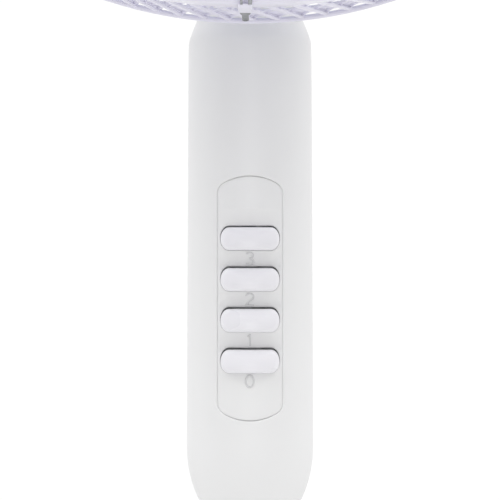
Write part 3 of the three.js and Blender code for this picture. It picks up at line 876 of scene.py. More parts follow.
@dataclass
class PanelShape:
    """The pill-shaped switch panel and its four key holes."""

    half: float = 15.9
    low_z: float = 419.0
    high_z: float = 536.0
    rise: float = 4.4
    corner: float = 5.8
    first_key_z: float = 506.3
    pitch: float = 19.5
    inset: float = 0.45
    hole_flat: float = 9.9
    hole_end: float = 4.35
    hole_half: float = 5.9

    def key_heights(self) -> list[float]:
        """The heights of the key holes, from the top."""
        return [self.first_key_z - n * self.pitch for n in range(4)]

    def outline(self, grow: float = 0.0) -> Array:
        """Straight sides, shallow arcs at both ends and rounded corners, in x and z.

        It is an inner outline with plain corners, moved out by the corners' radius: along the
        straight sides and the arcs every point moves square to them, and each corner opens into
        an arc about itself.
        """
        half = self.half - self.corner
        low, high = self.low_z + self.corner, self.high_z - self.corner
        rise = self.rise - 1.1 * self.corner * self.rise / self.half
        radius = (half**2 + rise**2) / (2 * rise)
        opening = math.asin(half / radius)
        out = self.corner + grow
        arc = np.linspace(opening, -opening, 41)
        fan = np.linspace(np.pi / 2, opening, 12)
        corner_right = [(half + out * math.sin(a), high - rise + out * math.cos(a)) for a in fan]
        top = [((radius + out) * math.sin(a), high - radius + (radius + out) * math.cos(a)) for a in arc]
        corner_left = [(-x, z) for x, z in reversed(corner_right)]
        upper = np.array([*corner_right, *top[1:-1], *corner_left])
        lower = upper[:, [0, 1]] * np.array([-1, -1]) + np.array([0, low + high])
        return resampled(np.vstack([upper, lower]), 0.5)

    def pill(self, z: float, flat: float, end: float, half: float, squareness: float = 2.05) -> Array:
        """A key's outline: straight top and bottom, and ends that are superellipse halves."""
        turn = np.linspace(-np.pi / 2, np.pi / 2, 29)
        x = flat + end * np.abs(np.cos(turn)) ** (2 / squareness)
        up = half * np.sign(np.sin(turn)) * np.abs(np.sin(turn)) ** (2 / squareness)
        loop = np.concatenate([np.stack([x, up], 1), np.stack([-x[::-1], up[::-1]], 1)])
        return resampled(loop, 0.45) + np.array([0, z])


@dataclass
class ControlColumn:
    """The moulded column: two half shells, the switch panel, the keys and the fittings."""

    shape: ColumnShape
    panel: PanelShape
    wall: float = 2.3
    seam: float = 0.16
    scoop_reach: float = 7.8
    scoop_depth: float = 4.6
    first_scoop: float = 2.3
    key_proud: float = 4.5
    key_lean: float = 1.3
    key_edge: float = 2.3
    key_drop: float = 0.36
    key_flat: float = 9.85
    key_end: float = 4.25
    key_half: float = 5.47
    key_crown: float = 0.55
    skirt_y: float = 5.5
    digit_drop: float = 9.8
    digit_size: tuple[float, float] = (2.0, 2.85)
    bead: float = 0.48
    bead_proud: float = 0.22
    groove: float = 1.1
    groove_flatness: float = 0.4

    def build(self) -> None:
        """Builds the shells, the panel, the keys, the digits and the fittings."""
        self._shell(front=True)
        self._shell(front=False)
        self._panel()
        for n, digit in enumerate("3210"):
            node = "key_off" if digit == "0" else f"key_speed_{digit}"
            self._key(n, digit, node)
            self._digit(n, digit)
        self._fittings()

    def _shell(self, front: bool) -> None:
        """A half shell: the oval section a (cos p, ratio sin p) over half a turn and the whole height."""
        along, a, z, ratio = self.shape.profile()
        span = 95.0
        side = -1.0 if front else 1.0

        def flat_place(x: Array, height: Array) -> Array:
            """Where a point at x and height lies on the unrolled shell."""
            v = np.interp(height, z[8:], along[8:])
            p = np.arccos(np.clip(x / np.interp(v, along, a), -1, 1))
            return np.stack([(1 - p / np.pi) * span, v], 1)

        holes = []
        if front:
            loop = self.panel.outline()
            holes.append(flat_place(loop[:, 0], loop[:, 1]))
        else:
            turn = np.linspace(0, 2 * np.pi, 40, endpoint=False)
            for x, height, r in self._rear_holes():
                holes.append(flat_place(x + r * np.cos(turn), height + r * np.sin(turn)))
        edge = [(0.0, 0.0), (span, 0.0), (span, along[-1]), (0.0, along[-1])]
        outline = resampled(np.array(edge), 1.8)
        flat = plate(outline, holes, 1.8, (0.1, 0.25, 0.45, 0.75, 1.3))

        def lift(points: Array) -> Array:
            """Rolls the flat plate up, with rounded edges at the seam and at the holes."""
            u, v = points[:, 0], points[:, 1]
            p = (1 - u / span) * np.pi
            half, height, k = (np.interp(v, along, values) for values in (a, z, ratio))
            drop = rim_drop(np.minimum(u, span - u) + 0.1, 0.5)
            for hole in holes:
                rim, share = (self.groove, self.groove_flatness) if front else (0.4, 1.0)
                drop = np.maximum(drop, share * rim_drop(distance_to(points[:, :2], hole), rim))
            drop = np.where(height < self.shape.flat_z + 1.5, 0, drop)
            x = (half - drop) * np.cos(p)
            y = side * ((half * k - drop) * np.sin(p) + self.seam)
            return np.stack([x, y, height], 1)

        skin = flat.lifted(lift)
        if not front:
            skin.faces = [face[::-1] for face in skin.faces]
        name = "column_front_shell" if front else "column_rear_shell"
        node = "column_front" if front else "column_rear"
        make_piece(name, skin, "column", "white_plastic", [node], wall=self.wall, closed=False)

    def _rear_holes(self) -> list[tuple[float, float, float]]:
        """x, height and radius of the holes in the rear shell: screws, pole screw and cord gland."""
        screws = [(x, z, 4.0) for x in (-20.0, 20.0) for z in (422.0, 565.0)]
        return [*screws, (0.0, 392.0, 3.1), (0.0, 426.0, 5.3)]

    def _scoop(self, x: Array, z: Array) -> Array:
        """Depth of the finger scoops: each slopes down into its key's upper edge.

        With t from 0 at the key's hole to 1 at the scoop's upper end, the depth is
        deepest * (1 - t), times a bowl across the panel that is 0 at its sides.
        The first key's scoop has no key above it and is shallower.
        """
        depth = np.zeros_like(x)
        bowl = np.clip(1 - (np.abs(x) / (self.panel.half - 0.6)) ** 4, 0, 1)
        for n, key_z in enumerate(self.panel.key_heights()):
            t = (z - (key_z + self.panel.hole_half)) / self.scoop_reach
            deepest = self.first_scoop if n == 0 else self.scoop_depth
            slope = deepest * (1 - np.clip(t, 0, 1)) * smooth_step((t + 0.8) / 0.7)
            depth = np.maximum(depth, np.where(t < 1, slope, 0) * bowl)
        return depth

    def panel_y(self, x: Array, z: Array) -> Array:
        """y of the panel's face at x and z."""
        return self.shape.front(x, z) + self.panel.inset + self._scoop(x, z)

    def _panel(self) -> None:
        """The panel: the column's face, a little sunk, with scoops, and a step down to its flange."""
        gap, flange, step = 0.02, 1.3, 2.6
        low = self.groove * self.groove_flatness
        edge = self.panel.outline(-gap)
        holes = [
            self.panel.pill(z, self.panel.hole_flat, self.panel.hole_end, self.panel.hole_half)
            for z in self.panel.key_heights()
        ]
        rows = [self.panel.outline(shift - gap) for shift in (-0.7, -0.45, -0.25, -0.1, -0.02, 0.08)]
        flat = plate(self.panel.outline(flange), holes, 0.75, (0.12, 0.28, 0.5, 0.8), rows)

        def lift(points: Array) -> Array:
            """Puts the plate's face on the column, rounds its rims and steps down to the flange."""
            x, z = points[:, 0], points[:, 1]
            y = self.panel_y(x, z)
            rim = distance_to(points[:, :2], edge)
            inside = within(points[:, :2], edge)
            over = low + (step - low) * smooth_step(rim / 0.08)
            y = y + np.where(inside, self.groove_flatness * rim_drop(rim, self.groove), over)
            for hole in holes:
                y = y + rim_drop(distance_to(points[:, :2], hole), 0.55)
            return np.stack([x, y, z], 1)

        skin = backed(flat.lifted(lift), (0.0, 1.5, 0.0))
        make_piece("switch_panel_plate", skin, "column", "white_plastic", ["switch_panel"])

    def _key(self, number: int, digit: str, node: str) -> None:
        """A key: a pill with a crowned, leaning face, a rounded edge, a straight skirt and a stem.

        A row of the grid is the outline scaled by s towards the centre. The face lies proud of
        the column by proud - crown s^2 and leans back towards its top; its edge turns over a
        quarter circle and the skirt runs back from there.
        """
        z = self.panel.key_heights()[number] - self.key_drop
        flat, end, half = self.key_flat, self.key_end, self.key_half
        face_rows, edge_rows = 12, 7
        turn = np.linspace(0.2, np.pi / 2, edge_rows)
        loop = self.panel.pill(0, flat, end, half)
        spread = np.concatenate([np.linspace(0, 1, face_rows), np.ones(edge_rows + 1)])[:, None]
        inset = self.key_edge * np.concatenate([np.ones(face_rows), 1 - np.sin(turn), [0]])
        drop = self.key_edge * np.concatenate([np.zeros(face_rows), 1 - np.cos(turn), [1]])
        scale = np.array([flat + end, half])
        ring = loop[None] * spread[..., None] * (1 - inset[:, None, None] / scale)
        x, up = ring[..., 0], ring[..., 1]
        y = self.shape.front(np.clip(x, -24, 24), up + z) - self.key_proud + self.key_lean * up / half
        y = y + self.key_crown * spread**2 + drop[:, None]
        y[-1] = self.shape.front(0 * x[-1], up[-1] + z) + self.skirt_y
        points = np.stack([x, y, up + z], -1).reshape(-1, 3)
        face = Skin(points, grid_faces(len(spread), len(loop), False, True).tolist())
        closing = Skin(points[-len(loop) :].copy(), [tuple(range(len(loop)))])
        stem = self._box((-3, 3), (-23.0, -5.0), (z - 1.5, z + 2.5))
        key = joined(face, closing, stem)
        make_piece(f"key_{digit}_cap", key, f"key_{digit}", "key_plastic", [node], sharp=50)

    @staticmethod
    def _box(xs: tuple[float, float], ys: tuple[float, float], zs: tuple[float, float]) -> Skin:
        """A plain block between two limits on each axis, for parts out of sight."""
        points = np.array([[x, y, z] for x in xs for y in ys for z in zs], float)
        faces = [(0, 1, 3, 2), (4, 6, 7, 5), (0, 4, 5, 1), (2, 3, 7, 6), (0, 2, 6, 4), (1, 5, 7, 3)]
        return Skin(points, faces)

    def _digit(self, number: int, digit: str) -> None:
        """A raised digit below its key: a low bead along the digit's strokes, laid on the panel."""
        z = self.panel.key_heights()[number] - self.digit_drop
        size, middle = np.array(self.digit_size), np.array([-0.1, z])
        strokes = [path * size + middle for path in self._strokes(digit)]
        skins = []
        for path in strokes:
            dense = evenly(path, 40)
            y = self.panel_y(dense[:, 0], dense[:, 1]) - self.bead_proud
            line = np.stack([dense[:, 0], y, dense[:, 1]], 1)[None]
            skins.append(tubes(line, self.bead, np.array([[0.0, 1.0, 0.0]]), sides=10))
        # The digits' darker grey is painted shade for their low relief; the plastic is the column's own.
        make_piece(
            f"digit_{digit}", joined(*skins), "column", "white_plastic", sharp=80, finish=DIGIT_ABS_PAINTED_SHADE
        )

    @staticmethod
    def _strokes(digit: str) -> list[Array]:
        """The strokes of a digit that is 2 wide and 2 high about its centre."""

        def arc(x: float, y: float, rx: float, ry: float, start: float, end: float) -> Array:
            """Part of an ellipse, from one angle in degrees to another."""
            t = np.radians(np.linspace(start, end, 40))
            return np.stack([x + rx * np.cos(t), y + ry * np.sin(t)], 1)

        if digit == "0":
            return [arc(0, 0, 0.95, 1, 90, 450)]
        if digit == "1":
            return [np.array([[-0.55, 0.55], [0.1, 1.0], [0.1, -1.0]])]
        if digit == "2":
            return [np.vstack([arc(0, 0.42, 0.9, 0.58, 165, -35), [[-0.95, -1.0], [1.0, -1.0]]])]
        upper = arc(-0.05, 0.5, 0.8, 0.5, 150, -90)
        return [upper, arc(-0.05, -0.5, 0.95, 0.5, 90, -150)]

    def _fittings(self) -> None:
        """The pole screw's knob, the cord gland, and the fork with its bolt and knob."""
        knob = rounded([(0, 28.6), (8, 28.6, 0.6), (8, 37.6, 1.4), (0, 38)])
        knob = resampled(knob, 0.8)
        knob[:, 0] = np.maximum(knob[:, 0], AXLE)
        skin = fluted(knob, 12, lambda h: 0.45 * smooth_step((h - 29) / 2), Axis.Y).moved(z=392)
        shank = revolved(rounded([(AXLE, 11.4), (2.6, 11.4, 0.3), (2.6, 29), (AXLE, 29)]), Axis.Y, 24)
        make_piece(
            "pole_screw_knob", joined(skin, shank.moved(z=392)), "column", "white_plastic",
            ["pole_screw"],
        )
        gland = [
            (3.2, 21, 0.3), (5, 21, 0.3), (5, 28.7), (7.5, 28.7, 0.4), (7.5, 30.7, 0.6),
            (5, 31, 0.5), (5, 33, 0.8), (3.2, 33, 0.5),
        ]
        turned(
            "cord_gland_ring", gland, "column", "dark_plastic", "cord_gland", Axis.Y, 48,
            at=(0, 0, 426),
        )
        softened("tilt_fork", "column", "white_plastic", 1.0)
        softened("tilt_bolt", "column", "steel", 0.5)
        grip = rounded(
            [(3.3, 17.6, 0.3), (11.6, 17.6, 0.8), (11.6, 32.4, 2.2), (3.3, 32.9, 0.3)], steps=6
        )
        skin = fluted(resampled(grip, 0.9), 10, lambda h: 0.8 * smooth_step((h - 18) / 3), Axis.X)
        make_piece(
            "tilt_knob_fluted", skin.moved(z=TILT_Z), "tilt_handle", "white_plastic", ["tilt_knob"],
            sharp=50,
        )


# ---------------------------------------------------------------- neck and head
@dataclass
class Neck:
    """The piece between the tilt bolt and the swivel, with the stud for the crank's link."""

    top: float = 41.0

    def build(self) -> None:
        """Builds the flared socket, the barrel round the tilt bolt and the link's stud."""
        socket = rounded(
            [
                (AXLE, 8), (10.5, 8, 0.5), (13, 13, 3), (17, 19, 4), (17, 34, 5),
                (25, self.top - 4, 1.2), (25, self.top, 0.8), (9, self.top, 0.4), (9, 19), (AXLE, 19),
            ],
            steps=6,
        )
        barrel = rounded([(3.4, -12, 0.3), (11, -12, 0.8), (11, 12, 0.8), (3.4, 12, 0.3)])
        stud = rounded([(AXLE, 40), (2.4, 40), (2.4, 45.6, 0.5), (AXLE, 45.6)])
        skin = joined(
            revolved(socket, segments=72),
            revolved(barrel, Axis.X, 56),
            revolved(stud, segments=24).moved(x=20.5),
        )
        make_piece("neck_socket", skin.moved(z=TILT_Z), "neck", "white_plastic", ["neck_piece"])


@dataclass
class Head:
    """The motor's covers, its guard nut and badge, and the small working parts around it."""

    radius: float = 69.0
    vent_from_y: float = 84.0
    vent_reach: float = 30.0
    vent_pitch: float = 7.5
    vent_half: float = 1.2
    knob_hole: float = 3.6
    shaft_hole: float = 6.0
    neck_hole: float = 24.0
    skirt_radius: float = 26.6
    skirt_flare: float = 5.0
    skirt_low: float = -83.8

    def build(self) -> None:
        """Builds the covers, the nut, the badge and the knobs."""
        self._front_cover()
        self._rear_cover()
        nut = rounded(
            [(22.3, -58, 0.5), (33.6, -58, 1.5), (35.4, -50, 1), (35.4, -46.5, 0.5), (22.3, -46.5)],
        )
        skin = fluted(resampled(nut, 0.9), 16, lambda h: 0.55 + 0 * h, Axis.Y)
        make_piece(
            "guard_nut_fluted", skin.moved(z=HEAD_Z), "head", "white_plastic", ["guard_nut"], sharp=50,
        )
        badge = [
            (AXLE, -177), (18, -176.6, 20), (36, -175.2, 20), (47, -172.6, 1.2), (47, -171.8, 0.3),
            (AXLE, -171.8),
        ]
        turned(
            "badge_disc", badge, "head", "white_plastic", "guard_badge", Axis.Y, at=(0, 0, HEAD_Z)
        )
        pull = [
            (AXLE, 9), (2.5, 9, 0.3), (2.5, 64.5), (5, 64.5, 0.4), (5, 69, 1), (8.3, 71, 0.8),
            (8.3, 78, 1.5), (6.5, 79.6, 1), (AXLE, 80),
        ]
        turned(
            "swing_pull_knob", pull, "swing_knob", "white_plastic", "pull_knob", segments=48,
            at=(CRANK_X, CRANK_Y, HEAD_Z),
        )
        softened("motor_bracket", "head", "casting", 0.8)
        softened("crank", "crank_wheel", "nylon", 0.5)
        softened("crank_link", "link", "steel", 0.4)
        softened("run_capacitor", "head", "dark_plastic", 1.2)
        softened("gearbox_case", "head", "casting", 0.8)

    def _front_cover(self) -> None:
        """The front half of the motor's case with its hollow boss, a turned shell."""
        r = self.radius
        profile = [
            (10, -60, 0.5), (21.5, -60, 1.2), (21.5, -44, 2), (65, -44, 5), (r, -40, 3),
            (r, -18, 0.4), (66.4, -18), (66.4, -39, 2), (64, -41), (10, -41),
        ]
        turned(
            "motor_front_shell", profile, "head", "white_plastic", "motor_cover_front", Axis.Y, 128,
            steps=7, at=(0, 0, HEAD_Z),
        )

    def _rear_cover(self) -> None:
        """The rear half of the motor's case: a bullet with air slots, and a skirt down to the neck.

        The bullet is the turned curve r(y). The skirt is a round wall whose upper edge runs along
        the bullet, at z = -sqrt(r(y)2 - x2), and which flares by a few millimetres there.
        """
        line = rounded(
            [
                (69, -17.7), (68.5, 12, 60), (64.5, 45, 60), (54, 77, 40), (32, 100, 26),
                (AXLE, 105.7),
            ],
            closed=False, steps=14,
        )
        line = line[np.argsort(line[:, 1])]
        y_dense = np.concatenate(
            [np.linspace(-17.7, 96, 110), 105.7 - 9.7 * np.linspace(1, 0, 16)[1:] ** 1.6],
        )
        r_dense = np.interp(y_dense, line[:, 1], line[:, 0])
        profile = np.stack([r_dense, y_dense], 1)
        skin = revolved(profile, Axis.Y, 192, closed=False)
        x, y, z = skin.points[np.array(skin.faces)].mean(1).T
        reach = np.maximum(np.abs(x), np.abs(z)) < self.vent_reach
        row = np.abs((z + 60) % self.vent_pitch - self.vent_pitch / 2) < self.vent_half
        slot = (y > self.vent_from_y) & reach & row
        from_crank = np.hypot(x - CRANK_X, y - CRANK_Y)
        round_hole = (z > 0) & (from_crank < self.knob_hole)
        shaft_hole = (z < 0) & (from_crank < self.shaft_hole)
        skirt_hole = (z < 0) & (np.hypot(x, y) < self.neck_hole)
        keep = ~(slot | round_hole | shaft_hole | skirt_hole)
        faces = [tuple(face[::-1]) for face, kept in zip(skin.faces, keep) if kept]
        bullet = Skin(skin.points, faces)

        turn = np.linspace(0, 2 * np.pi, 96, endpoint=False)
        drop = np.linspace(0, 1, 24)[:, None]
        flare = self.skirt_radius + self.skirt_flare * (1 - smooth_step(drop / 0.35)) + 0 * turn
        sx, sy = flare * np.cos(turn), flare * np.sin(turn)
        sy = np.maximum(sy, -17.6)
        top = -np.sqrt(np.interp(sy, profile[:, 1], profile[:, 0]) ** 2 - sx**2) + 0.6
        sz = top + (self.skirt_low - top) * drop
        skirt = Skin(
            np.stack([sx, sy, sz], -1).reshape(-1, 3),
            grid_faces(24, 96, False, True)[:, ::-1].tolist(),
        )
        make_piece(
            "motor_rear_shell", joined(bullet, skirt).moved(z=HEAD_Z), "head", "white_plastic",
            ["motor_cover_rear"], wall=2.2, closed=False,
        )


# ---------------------------------------------------------------- guards
@dataclass
class Guards:
    """The two wire guards, the rim band that holds them together and its clip."""

    radius: float = 215.0
    wire: float = 0.95
    count: int = 120  # wires in each set
    side_lean: float = 0.14
    corner_y: float = -54.0
    band_front: float = -146.5
    band_rear: float = -132.0

    def build(self) -> None:
        """Builds the rear guard, the front guard, the band and the clip."""
        self._rear()
        self._front()
        self._band()
        self._clip()

    def _radial(
        self,
        corners: Sequence[tuple[float, ...]],
        count: int,
        radius: float,
        offset: float = 0.0,
        lean: float = 0.0,
    ) -> Skin:
        """The same wire repeated round the fan's axis.

        Args:
            corners: the wire's (radius, y, rounding) corners.
            count: how many wires.
            radius: of the wire.
            offset: turn of the first wire, as a share of the pitch.
            lean: turn, in radians, that a wire gains from its first y to its last.

        Returns:
            All the wires.
        """
        path = rounded(corners, closed=False, steps=7)
        turn = (np.arange(count) + offset) / count * 2 * np.pi
        reach = (path[:, 1] - path[0, 1]) / (path[-1, 1] - path[0, 1])
        at = turn[:, None] + lean * np.clip(reach, 0, 1)[None]
        r, y = path[None, :, 0], path[None, :, 1] + 0 * at
        paths = np.stack([r * np.sin(at), y, r * np.cos(at)], -1)
        across = np.stack([np.cos(turn), 0 * turn, -np.sin(turn)], -1)
        return tubes(paths, radius, across, sides=6)

    @staticmethod
    def _ring(radius: float, y: float, wire: float, segments: int = 180) -> Skin:
        """A round wire ring about the fan's axis."""
        turn = np.linspace(0, 2 * np.pi, 10, endpoint=False)
        profile = np.stack([radius + wire * np.cos(turn), y + wire * np.sin(turn)], 1)
        return revolved(profile, Axis.Y, segments)

    def _rear(self) -> None:
        """The rear guard: wires out from the mounting plate, round the corner and along the side.

        Along the side they lean one way, and a second set of wires leans the other way.
        """
        side = self.radius - 0.8
        corners = [
            (50, -47.2), (side - 6, -50.5, 8), (side, self.corner_y - 3, 8),
            (side, self.band_rear - 3),
        ]
        wires = self._radial(corners, self.count, self.wire, offset=0.5, lean=self.side_lean)
        crossing = [(side - 1.3, self.corner_y + 0.5), (side - 1.3, self.band_rear - 3)]
        crossing = self._radial(crossing, self.count, self.wire, lean=-self.side_lean)
        rings = [
            self._ring(r, y, w)
            for r, y, w in (
                (60, -48.6, 1.3), (125, -50.2, 1.1), (170, -51.0, 1.1), (side - 9, -50.0, 1.2),
                (side + 0.3, self.corner_y - 2.5, 1.3), (side - 2.6, -61, 1.3), (side - 2.6, -67, 1.2),
                (side - 1.2, self.band_rear - 2.4, 1.8),
            )
        ]
        plate_profile = rounded([(22.3, -46.2), (54, -46.2, 0.6), (54, -44.4, 0.6), (22.3, -44.4)])
        skin = joined(wires, crossing, *rings, revolved(plate_profile, Axis.Y, 96))
        make_piece("rear_guard_wires", skin.moved(z=HEAD_Z), "head", "wire_paint", ["rear_guard"])

    def _front(self) -> None:
        """The front guard: a shallow dome of straight wires from the rim to the badge."""
        corners = [(211.4, -138.5), (211.0, -143, 6), (202, -151.5, 14), (130, -163.5, 60), (42, -169)]
        wires = self._radial(corners, self.count, self.wire, offset=0.5)
        rings = [
            self._ring(r, y, w)
            for r, y, w in (
                (211.2, -140.3, 1.6), (186, -156.0, 1.1), (145, -162.4, 1.1), (100, -166.6, 1.1),
                (45, -169.8, 1.3),
            )
        ]
        back = rounded([(AXLE, -170.6), (46, -170.6, 0.6), (46, -169.2, 0.6), (AXLE, -169.2)])
        skin = joined(wires, *rings, revolved(back, Axis.Y, 96))
        make_piece("front_guard_wires", skin.moved(z=HEAD_Z), "head", "wire_paint", ["front_guard"])

    def _band(self) -> None:
        """The rim band: a rolled channel that grips both guards' rims."""
        r = self.radius
        profile = [
            (r + 0.9, self.band_rear, 0.4), (r + 2.4, self.band_rear, 0.7),
            (r + 2.4, self.band_front, 3.0), (210.4, self.band_front, 0.7),
            (210.4, self.band_front + 1.4, 0.4), (r + 0.9, self.band_front + 1.4, 1.8),
        ]
        turned(
            "guard_rim_band", profile, "head", "wire_paint", "guard_band", Axis.Y, 256, steps=7,
            at=(0, 0, HEAD_Z),
        )

    def _clip(self) -> None:
        """The clip under the rim: a sprung steel strap with a wide head, and its painted shoe.

        The strap's section is a flat oval carried along its side view. Two prongs come out of the
        shoe and hook over the band's front edge.
        """
        under = HEAD_Z - self.radius - 2.4
        middle = -2.0
        line = [(-96, under - 1.1), (-106, under - 1.3, 8), (-130, under - 1.3)]
        strap = self._strap(line, middle, lambda y: 1.55 + 0.85 * smooth_step((-118.5 - y) / 5), 0.5)
        hook = [(-148.4, under - 0.6), (-148.4, under + 7.5, 1), (-147.4, under + 8.6)]
        prongs = [
            self._strap(hook, middle + side, lambda y, half=half: half + 0 * y, 0.45)
            for side, half in ((-1.6, 0.5), (2.0, 0.85))
        ]
        rivet = revolved(rounded([(AXLE, -1.9), (1.1, -1.9, 0.5), (1.1, 0.1), (AXLE, 0.1)]), segments=24)
        skin = joined(strap, *prongs, rivet.moved(middle, -99.5, under - 0.2))
        make_piece("guard_clip_strap", skin, "clip", "steel", ["guard_clip"])
        shoe_line = [(-129, under - 1.2), (-147.8, under - 1.2, 0.8), (-147.8, under - 0.2)]
        shoe = self._strap(shoe_line, middle, lambda y: 3.0 + 0 * y, 0.62)
        make_piece("guard_clip_shoe", shoe, "clip", "wire_paint")

    @staticmethod
    def _strap(
        corners: Sequence[tuple[float, ...]], x: float, half: Callable[[Array], Array], thick: float
    ) -> Skin:
        """A flat strip along a bent line in y and z, centred on x.

        Args:
            corners: the line's (y, z, rounding) corners.
            x: where its middle lies.
            half: half its width at a y.
            thick: half its thickness.

        Returns:
            The strip.
        """
        bent = rounded(corners, closed=False, steps=6)
        line = evenly(bent, max(len(bent), int(travelled(bent)[-1])) + 2)
        across = np.array([-1.0, -0.86, 0.86, 1.0, 0.86, -0.86])
        rise = np.array([0.0, -1.0, -1.0, 0.0, 1.0, 1.0]) * thick
        direction = np.gradient(line, axis=0)
        direction /= np.linalg.norm(direction, axis=1, keepdims=True)
        normal = np.stack([-direction[:, 1], direction[:, 0]], 1)
        points = np.stack(
            [
                x + half(line[:, :1]) * across,
                line[:, :1] + normal[:, :1] * rise,
                line[:, 1:] + normal[:, 1:] * rise,
            ],
            -1,
        )
        faces = grid_faces(len(line), 6, False, True).tolist()
        faces += [tuple(range(6)), tuple(range(len(line) * 6 - 6, len(line) * 6))]
        return Skin(points.reshape(-1, 3), faces)


# ---------------------------------------------------------------- blade
@dataclass
class Rotor:
    """The blade with its hub, and the cap that holds it on the shaft."""

    blades: int = 5
    root: float = 34.0
    tip: float = 191.0
    sweep: float = 0.35  # how far the tip runs ahead of the root, in radians
    half_thickness: float = 0.95

    def build(self) -> None:
        """Builds the blade and its cap."""
        surfaces = [self._blade(n / self.blades * 2 * np.pi) for n in range(self.blades)]
        hub = rounded(
            [
                (4.4, -120, 0.4), (30, -120, 6), (36, -114, 5), (38, -72, 0.8), (35.5, -72, 0.5),
                (33.5, -112, 3), (28, -116, 2), (9, -116), (9, -90, 0.5), (4.4, -90, 0.3),
            ],
            steps=6,
        )
        skin = joined(*surfaces, revolved(hub, Axis.Y, 96))
        make_piece(
            "fan_blade_moulded", skin.moved(z=HEAD_Z), "rotor", "blade_plastic", ["fan_blade"],
            sharp=60,
        )
        cap = rounded(
            [
                (AXLE, -134.8), (9, -133.8, 6), (14.6, -128.8, 3), (15.4, -120.6, 0.4), (4.6, -120.6),
                (4.6, -129), (AXLE, -129),
            ]
        )
        skin = fluted(resampled(cap, 0.8), 12, lambda h: 0.4 * smooth_step((h + 134) / 4), Axis.Y)
        make_piece(
            "blade_cap_grip", skin.moved(z=HEAD_Z), "rotor", "dark_plastic", ["blade_cap"], sharp=50
        )

    def _blade(self, start: float) -> Skin:
        """One blade: a twisted sheet that widens, sweeps forward and has a rounded tip.

        For u from root to tip and v across, the angle is start + sweep u2 + width(u) v, and the
        depth falls with v by a pitch that flattens towards the tip. Both faces lie half a
        thickness from it, and the thickness runs out at the edges.
        """
        u = np.linspace(0, 1, 40)[:, None]
        v = np.linspace(-0.5, 0.5, 34)[None]
        corner = np.clip((u - 0.8) / 0.2, 0, 1)
        spread = (0.86 + 0.1 * np.sin(np.pi * u)) * np.sqrt(1 - 0.35 * corner**2.5)
        r = self.root + (self.tip - self.root) * u * (1 - 0.035 * (2 * np.abs(v)) ** 3 * corner)
        turn = start + self.sweep * u**2 + spread * v
        y = -99 + (44 - 8 * u) * v + 10 * (v**2 - 0.25) * (1 - 0.3 * u)
        middle = np.stack([r * np.sin(turn), y, r * np.cos(turn)], -1)
        across, along = np.gradient(middle, axis=1), np.gradient(middle, axis=0)
        normal = np.cross(along, across)
        normal /= np.linalg.norm(normal, axis=2, keepdims=True)
        edge = np.minimum(1 - np.abs(2 * v), (1 - u) * 3) * 12
        half = self.half_thickness * np.sqrt(np.clip(edge, 0, 1))[..., None]
        upper, lower = middle + normal * half, middle - normal * half
        rows, columns = middle.shape[:2]
        faces = grid_faces(rows, columns, False, False)
        both = np.vstack([faces, faces[:, ::-1] + rows * columns])
        points = np.vstack([upper.reshape(-1, 3), lower.reshape(-1, 3)])
        root_edge = [
            (n, n + 1, rows * columns + n + 1, rows * columns + n) for n in range(columns - 1)
        ]
        return Skin(points, [tuple(face) for face in both.tolist()] + root_edge)


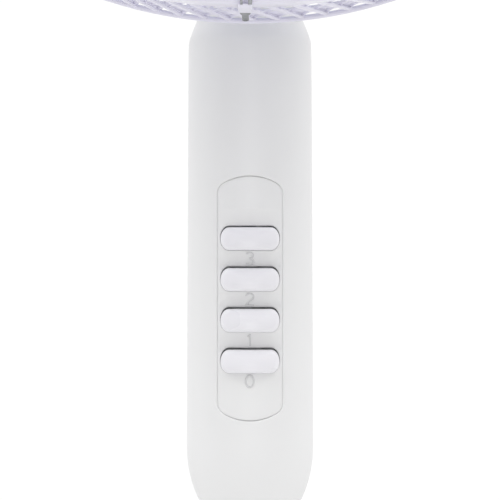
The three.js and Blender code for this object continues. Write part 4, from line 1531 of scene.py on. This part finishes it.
# ---------------------------------------------------------------- setting
@dataclass
class Studio:
    """The pale floor, the soft lights and the camera."""

    camera_y: float = -1.0
    camera_z: float = 0.5006
    lens: float = 146.95
    front_fill: float = 0.2
    side_fill: float = 1.04
    ceiling: float = 1.68
    below: float = 1.2
    front_power: float = 4.2
    floor_radius: float = 2.6

    def build(self) -> None:
        """Builds the floor, the lights and the camera."""
        scene = bpy.context.scene
        scene.view_settings.view_transform = "Standard"
        scene.world = self._surroundings()
        self._floor()
        self._light("front_softbox", (0, -1.9, 0.6), (0, 0, 0.42), 0.6, self.front_power)
        camera = bpy.data.cameras.new("camera")
        camera.lens = self.lens
        camera.sensor_width = 36.0
        camera.clip_start = 0.05
        holder = bpy.data.objects.new("camera", camera)
        holder.location = (0, self.camera_y, self.camera_z)
        holder.rotation_euler = (math.pi / 2, 0, 0)
        scene.collection.objects.link(holder)
        scene.camera = holder

    def _surroundings(self) -> bpy.types.World:
        """A white sweep behind and beside the object, a bright ceiling, and a dim camera side.

        The light from a direction rises from the dim front with its y and with its height above
        or below the horizon, whichever gives more. What the camera sees directly is white.
        """
        world = bpy.data.worlds.new("white_sweep")
        world.use_nodes = True
        tree = world.node_tree
        tree.nodes.clear()
        direction = add_node(tree, "ShaderNodeTexCoord", {}).outputs["Generated"]
        parts = add_node(tree, "ShaderNodeSeparateXYZ", {"Vector": direction})
        sweep = add_node(
            tree,
            "ShaderNodeMapRange",
            {"Value": parts.outputs["Y"], 1: -0.75, 2: 0.05, 3: self.front_fill, 4: self.side_fill},
        )
        light = sweep.outputs["Result"]
        for edge, far, fill in ((0.1, 0.75, self.ceiling), (-0.1, -0.75, self.below)):
            limits = {"Value": parts.outputs["Z"], 1: edge, 2: far, 3: self.front_fill, 4: fill}
            side = add_node(tree, "ShaderNodeMapRange", limits)
            larger = {0: light, 1: side.outputs["Result"]}
            light = add_node(tree, "ShaderNodeMath", larger, operation="MAXIMUM").outputs[0]
        seen = add_node(tree, "ShaderNodeLightPath", {}).outputs["Is Camera Ray"]
        strength = add_node(tree, "ShaderNodeMath", {0: light, 1: seen}, operation="MAXIMUM")
        white = {"Color": (1, 1, 1, 1), "Strength": strength.outputs[0]}
        background = add_node(tree, "ShaderNodeBackground", white)
        add_node(tree, "ShaderNodeOutputWorld", {"Surface": background.outputs["Background"]})
        return world

    def _floor(self) -> None:
        """A round pale floor that ends before the camera could see it under the horizon."""
        turn = np.linspace(0, 2 * np.pi, 96, endpoint=False)
        radius = self.floor_radius
        ring = np.stack([radius * np.cos(turn), radius * np.sin(turn), 0 * turn], 1)
        mesh = bpy.data.meshes.new("floor")
        mesh.from_pydata(ring.tolist(), [], [tuple(range(96))])
        floor = bpy.data.objects.new("floor", mesh)
        bpy.context.scene.collection.objects.link(floor)
        finish = Finish("matt_floor_paint", "#cfcfcf", 0.7, shade=0.01, shade_mm=400, grain_mm=3)
        mesh.materials.append(finish.material())

    @staticmethod
    def _light(
        name: str, at: tuple[float, float, float], to: tuple[float, float, float], size: float,
        power: float,
    ) -> None:
        """Adds a square area light that points at a place.

        Args:
            name: the light's name.
            at: where it stands, in metres.
            to: where it points.
            size: its side.
            power: in watts.
        """
        data = bpy.data.lights.new(name, "AREA")
        data.size = size
        data.energy = power
        light = bpy.data.objects.new(name, data)
        light.location = at
        light.rotation_euler = (Vector(to) - Vector(at)).to_track_quat("-Z", "Y").to_euler()
        light.visible_camera = False
        bpy.context.scene.collection.objects.link(light)


SPECIAL_FINISH: dict[str, Finish] = {"stator_core": LAMINATIONS, "rotor_core": LAMINATIONS}


def dress_carried_over() -> None:
    """Gives every CAD node its slot's finish."""
    slots = {part["node"]: part["material_slot"] for part in frame["record"]["subparts"]}
    for name, held in frame["nodes"].items():
        finish = SPECIAL_FINISH.get(name, SLOT_FINISH[slots[name]])
        held.data.materials.clear()
        held.data.materials.append(finish.material())


def main() -> None:
    """Builds the whole visual model."""
    logging.basicConfig(level=logging.INFO, format="%(name)s: %(message)s")
    dress_carried_over()
    Studio().build()
    Stand().build()
    ControlColumn(ColumnShape(), PanelShape()).build()
    Neck().build()
    Head().build()
    Guards().build()
    Rotor().build()


if __name__ == "__main__":
    main()
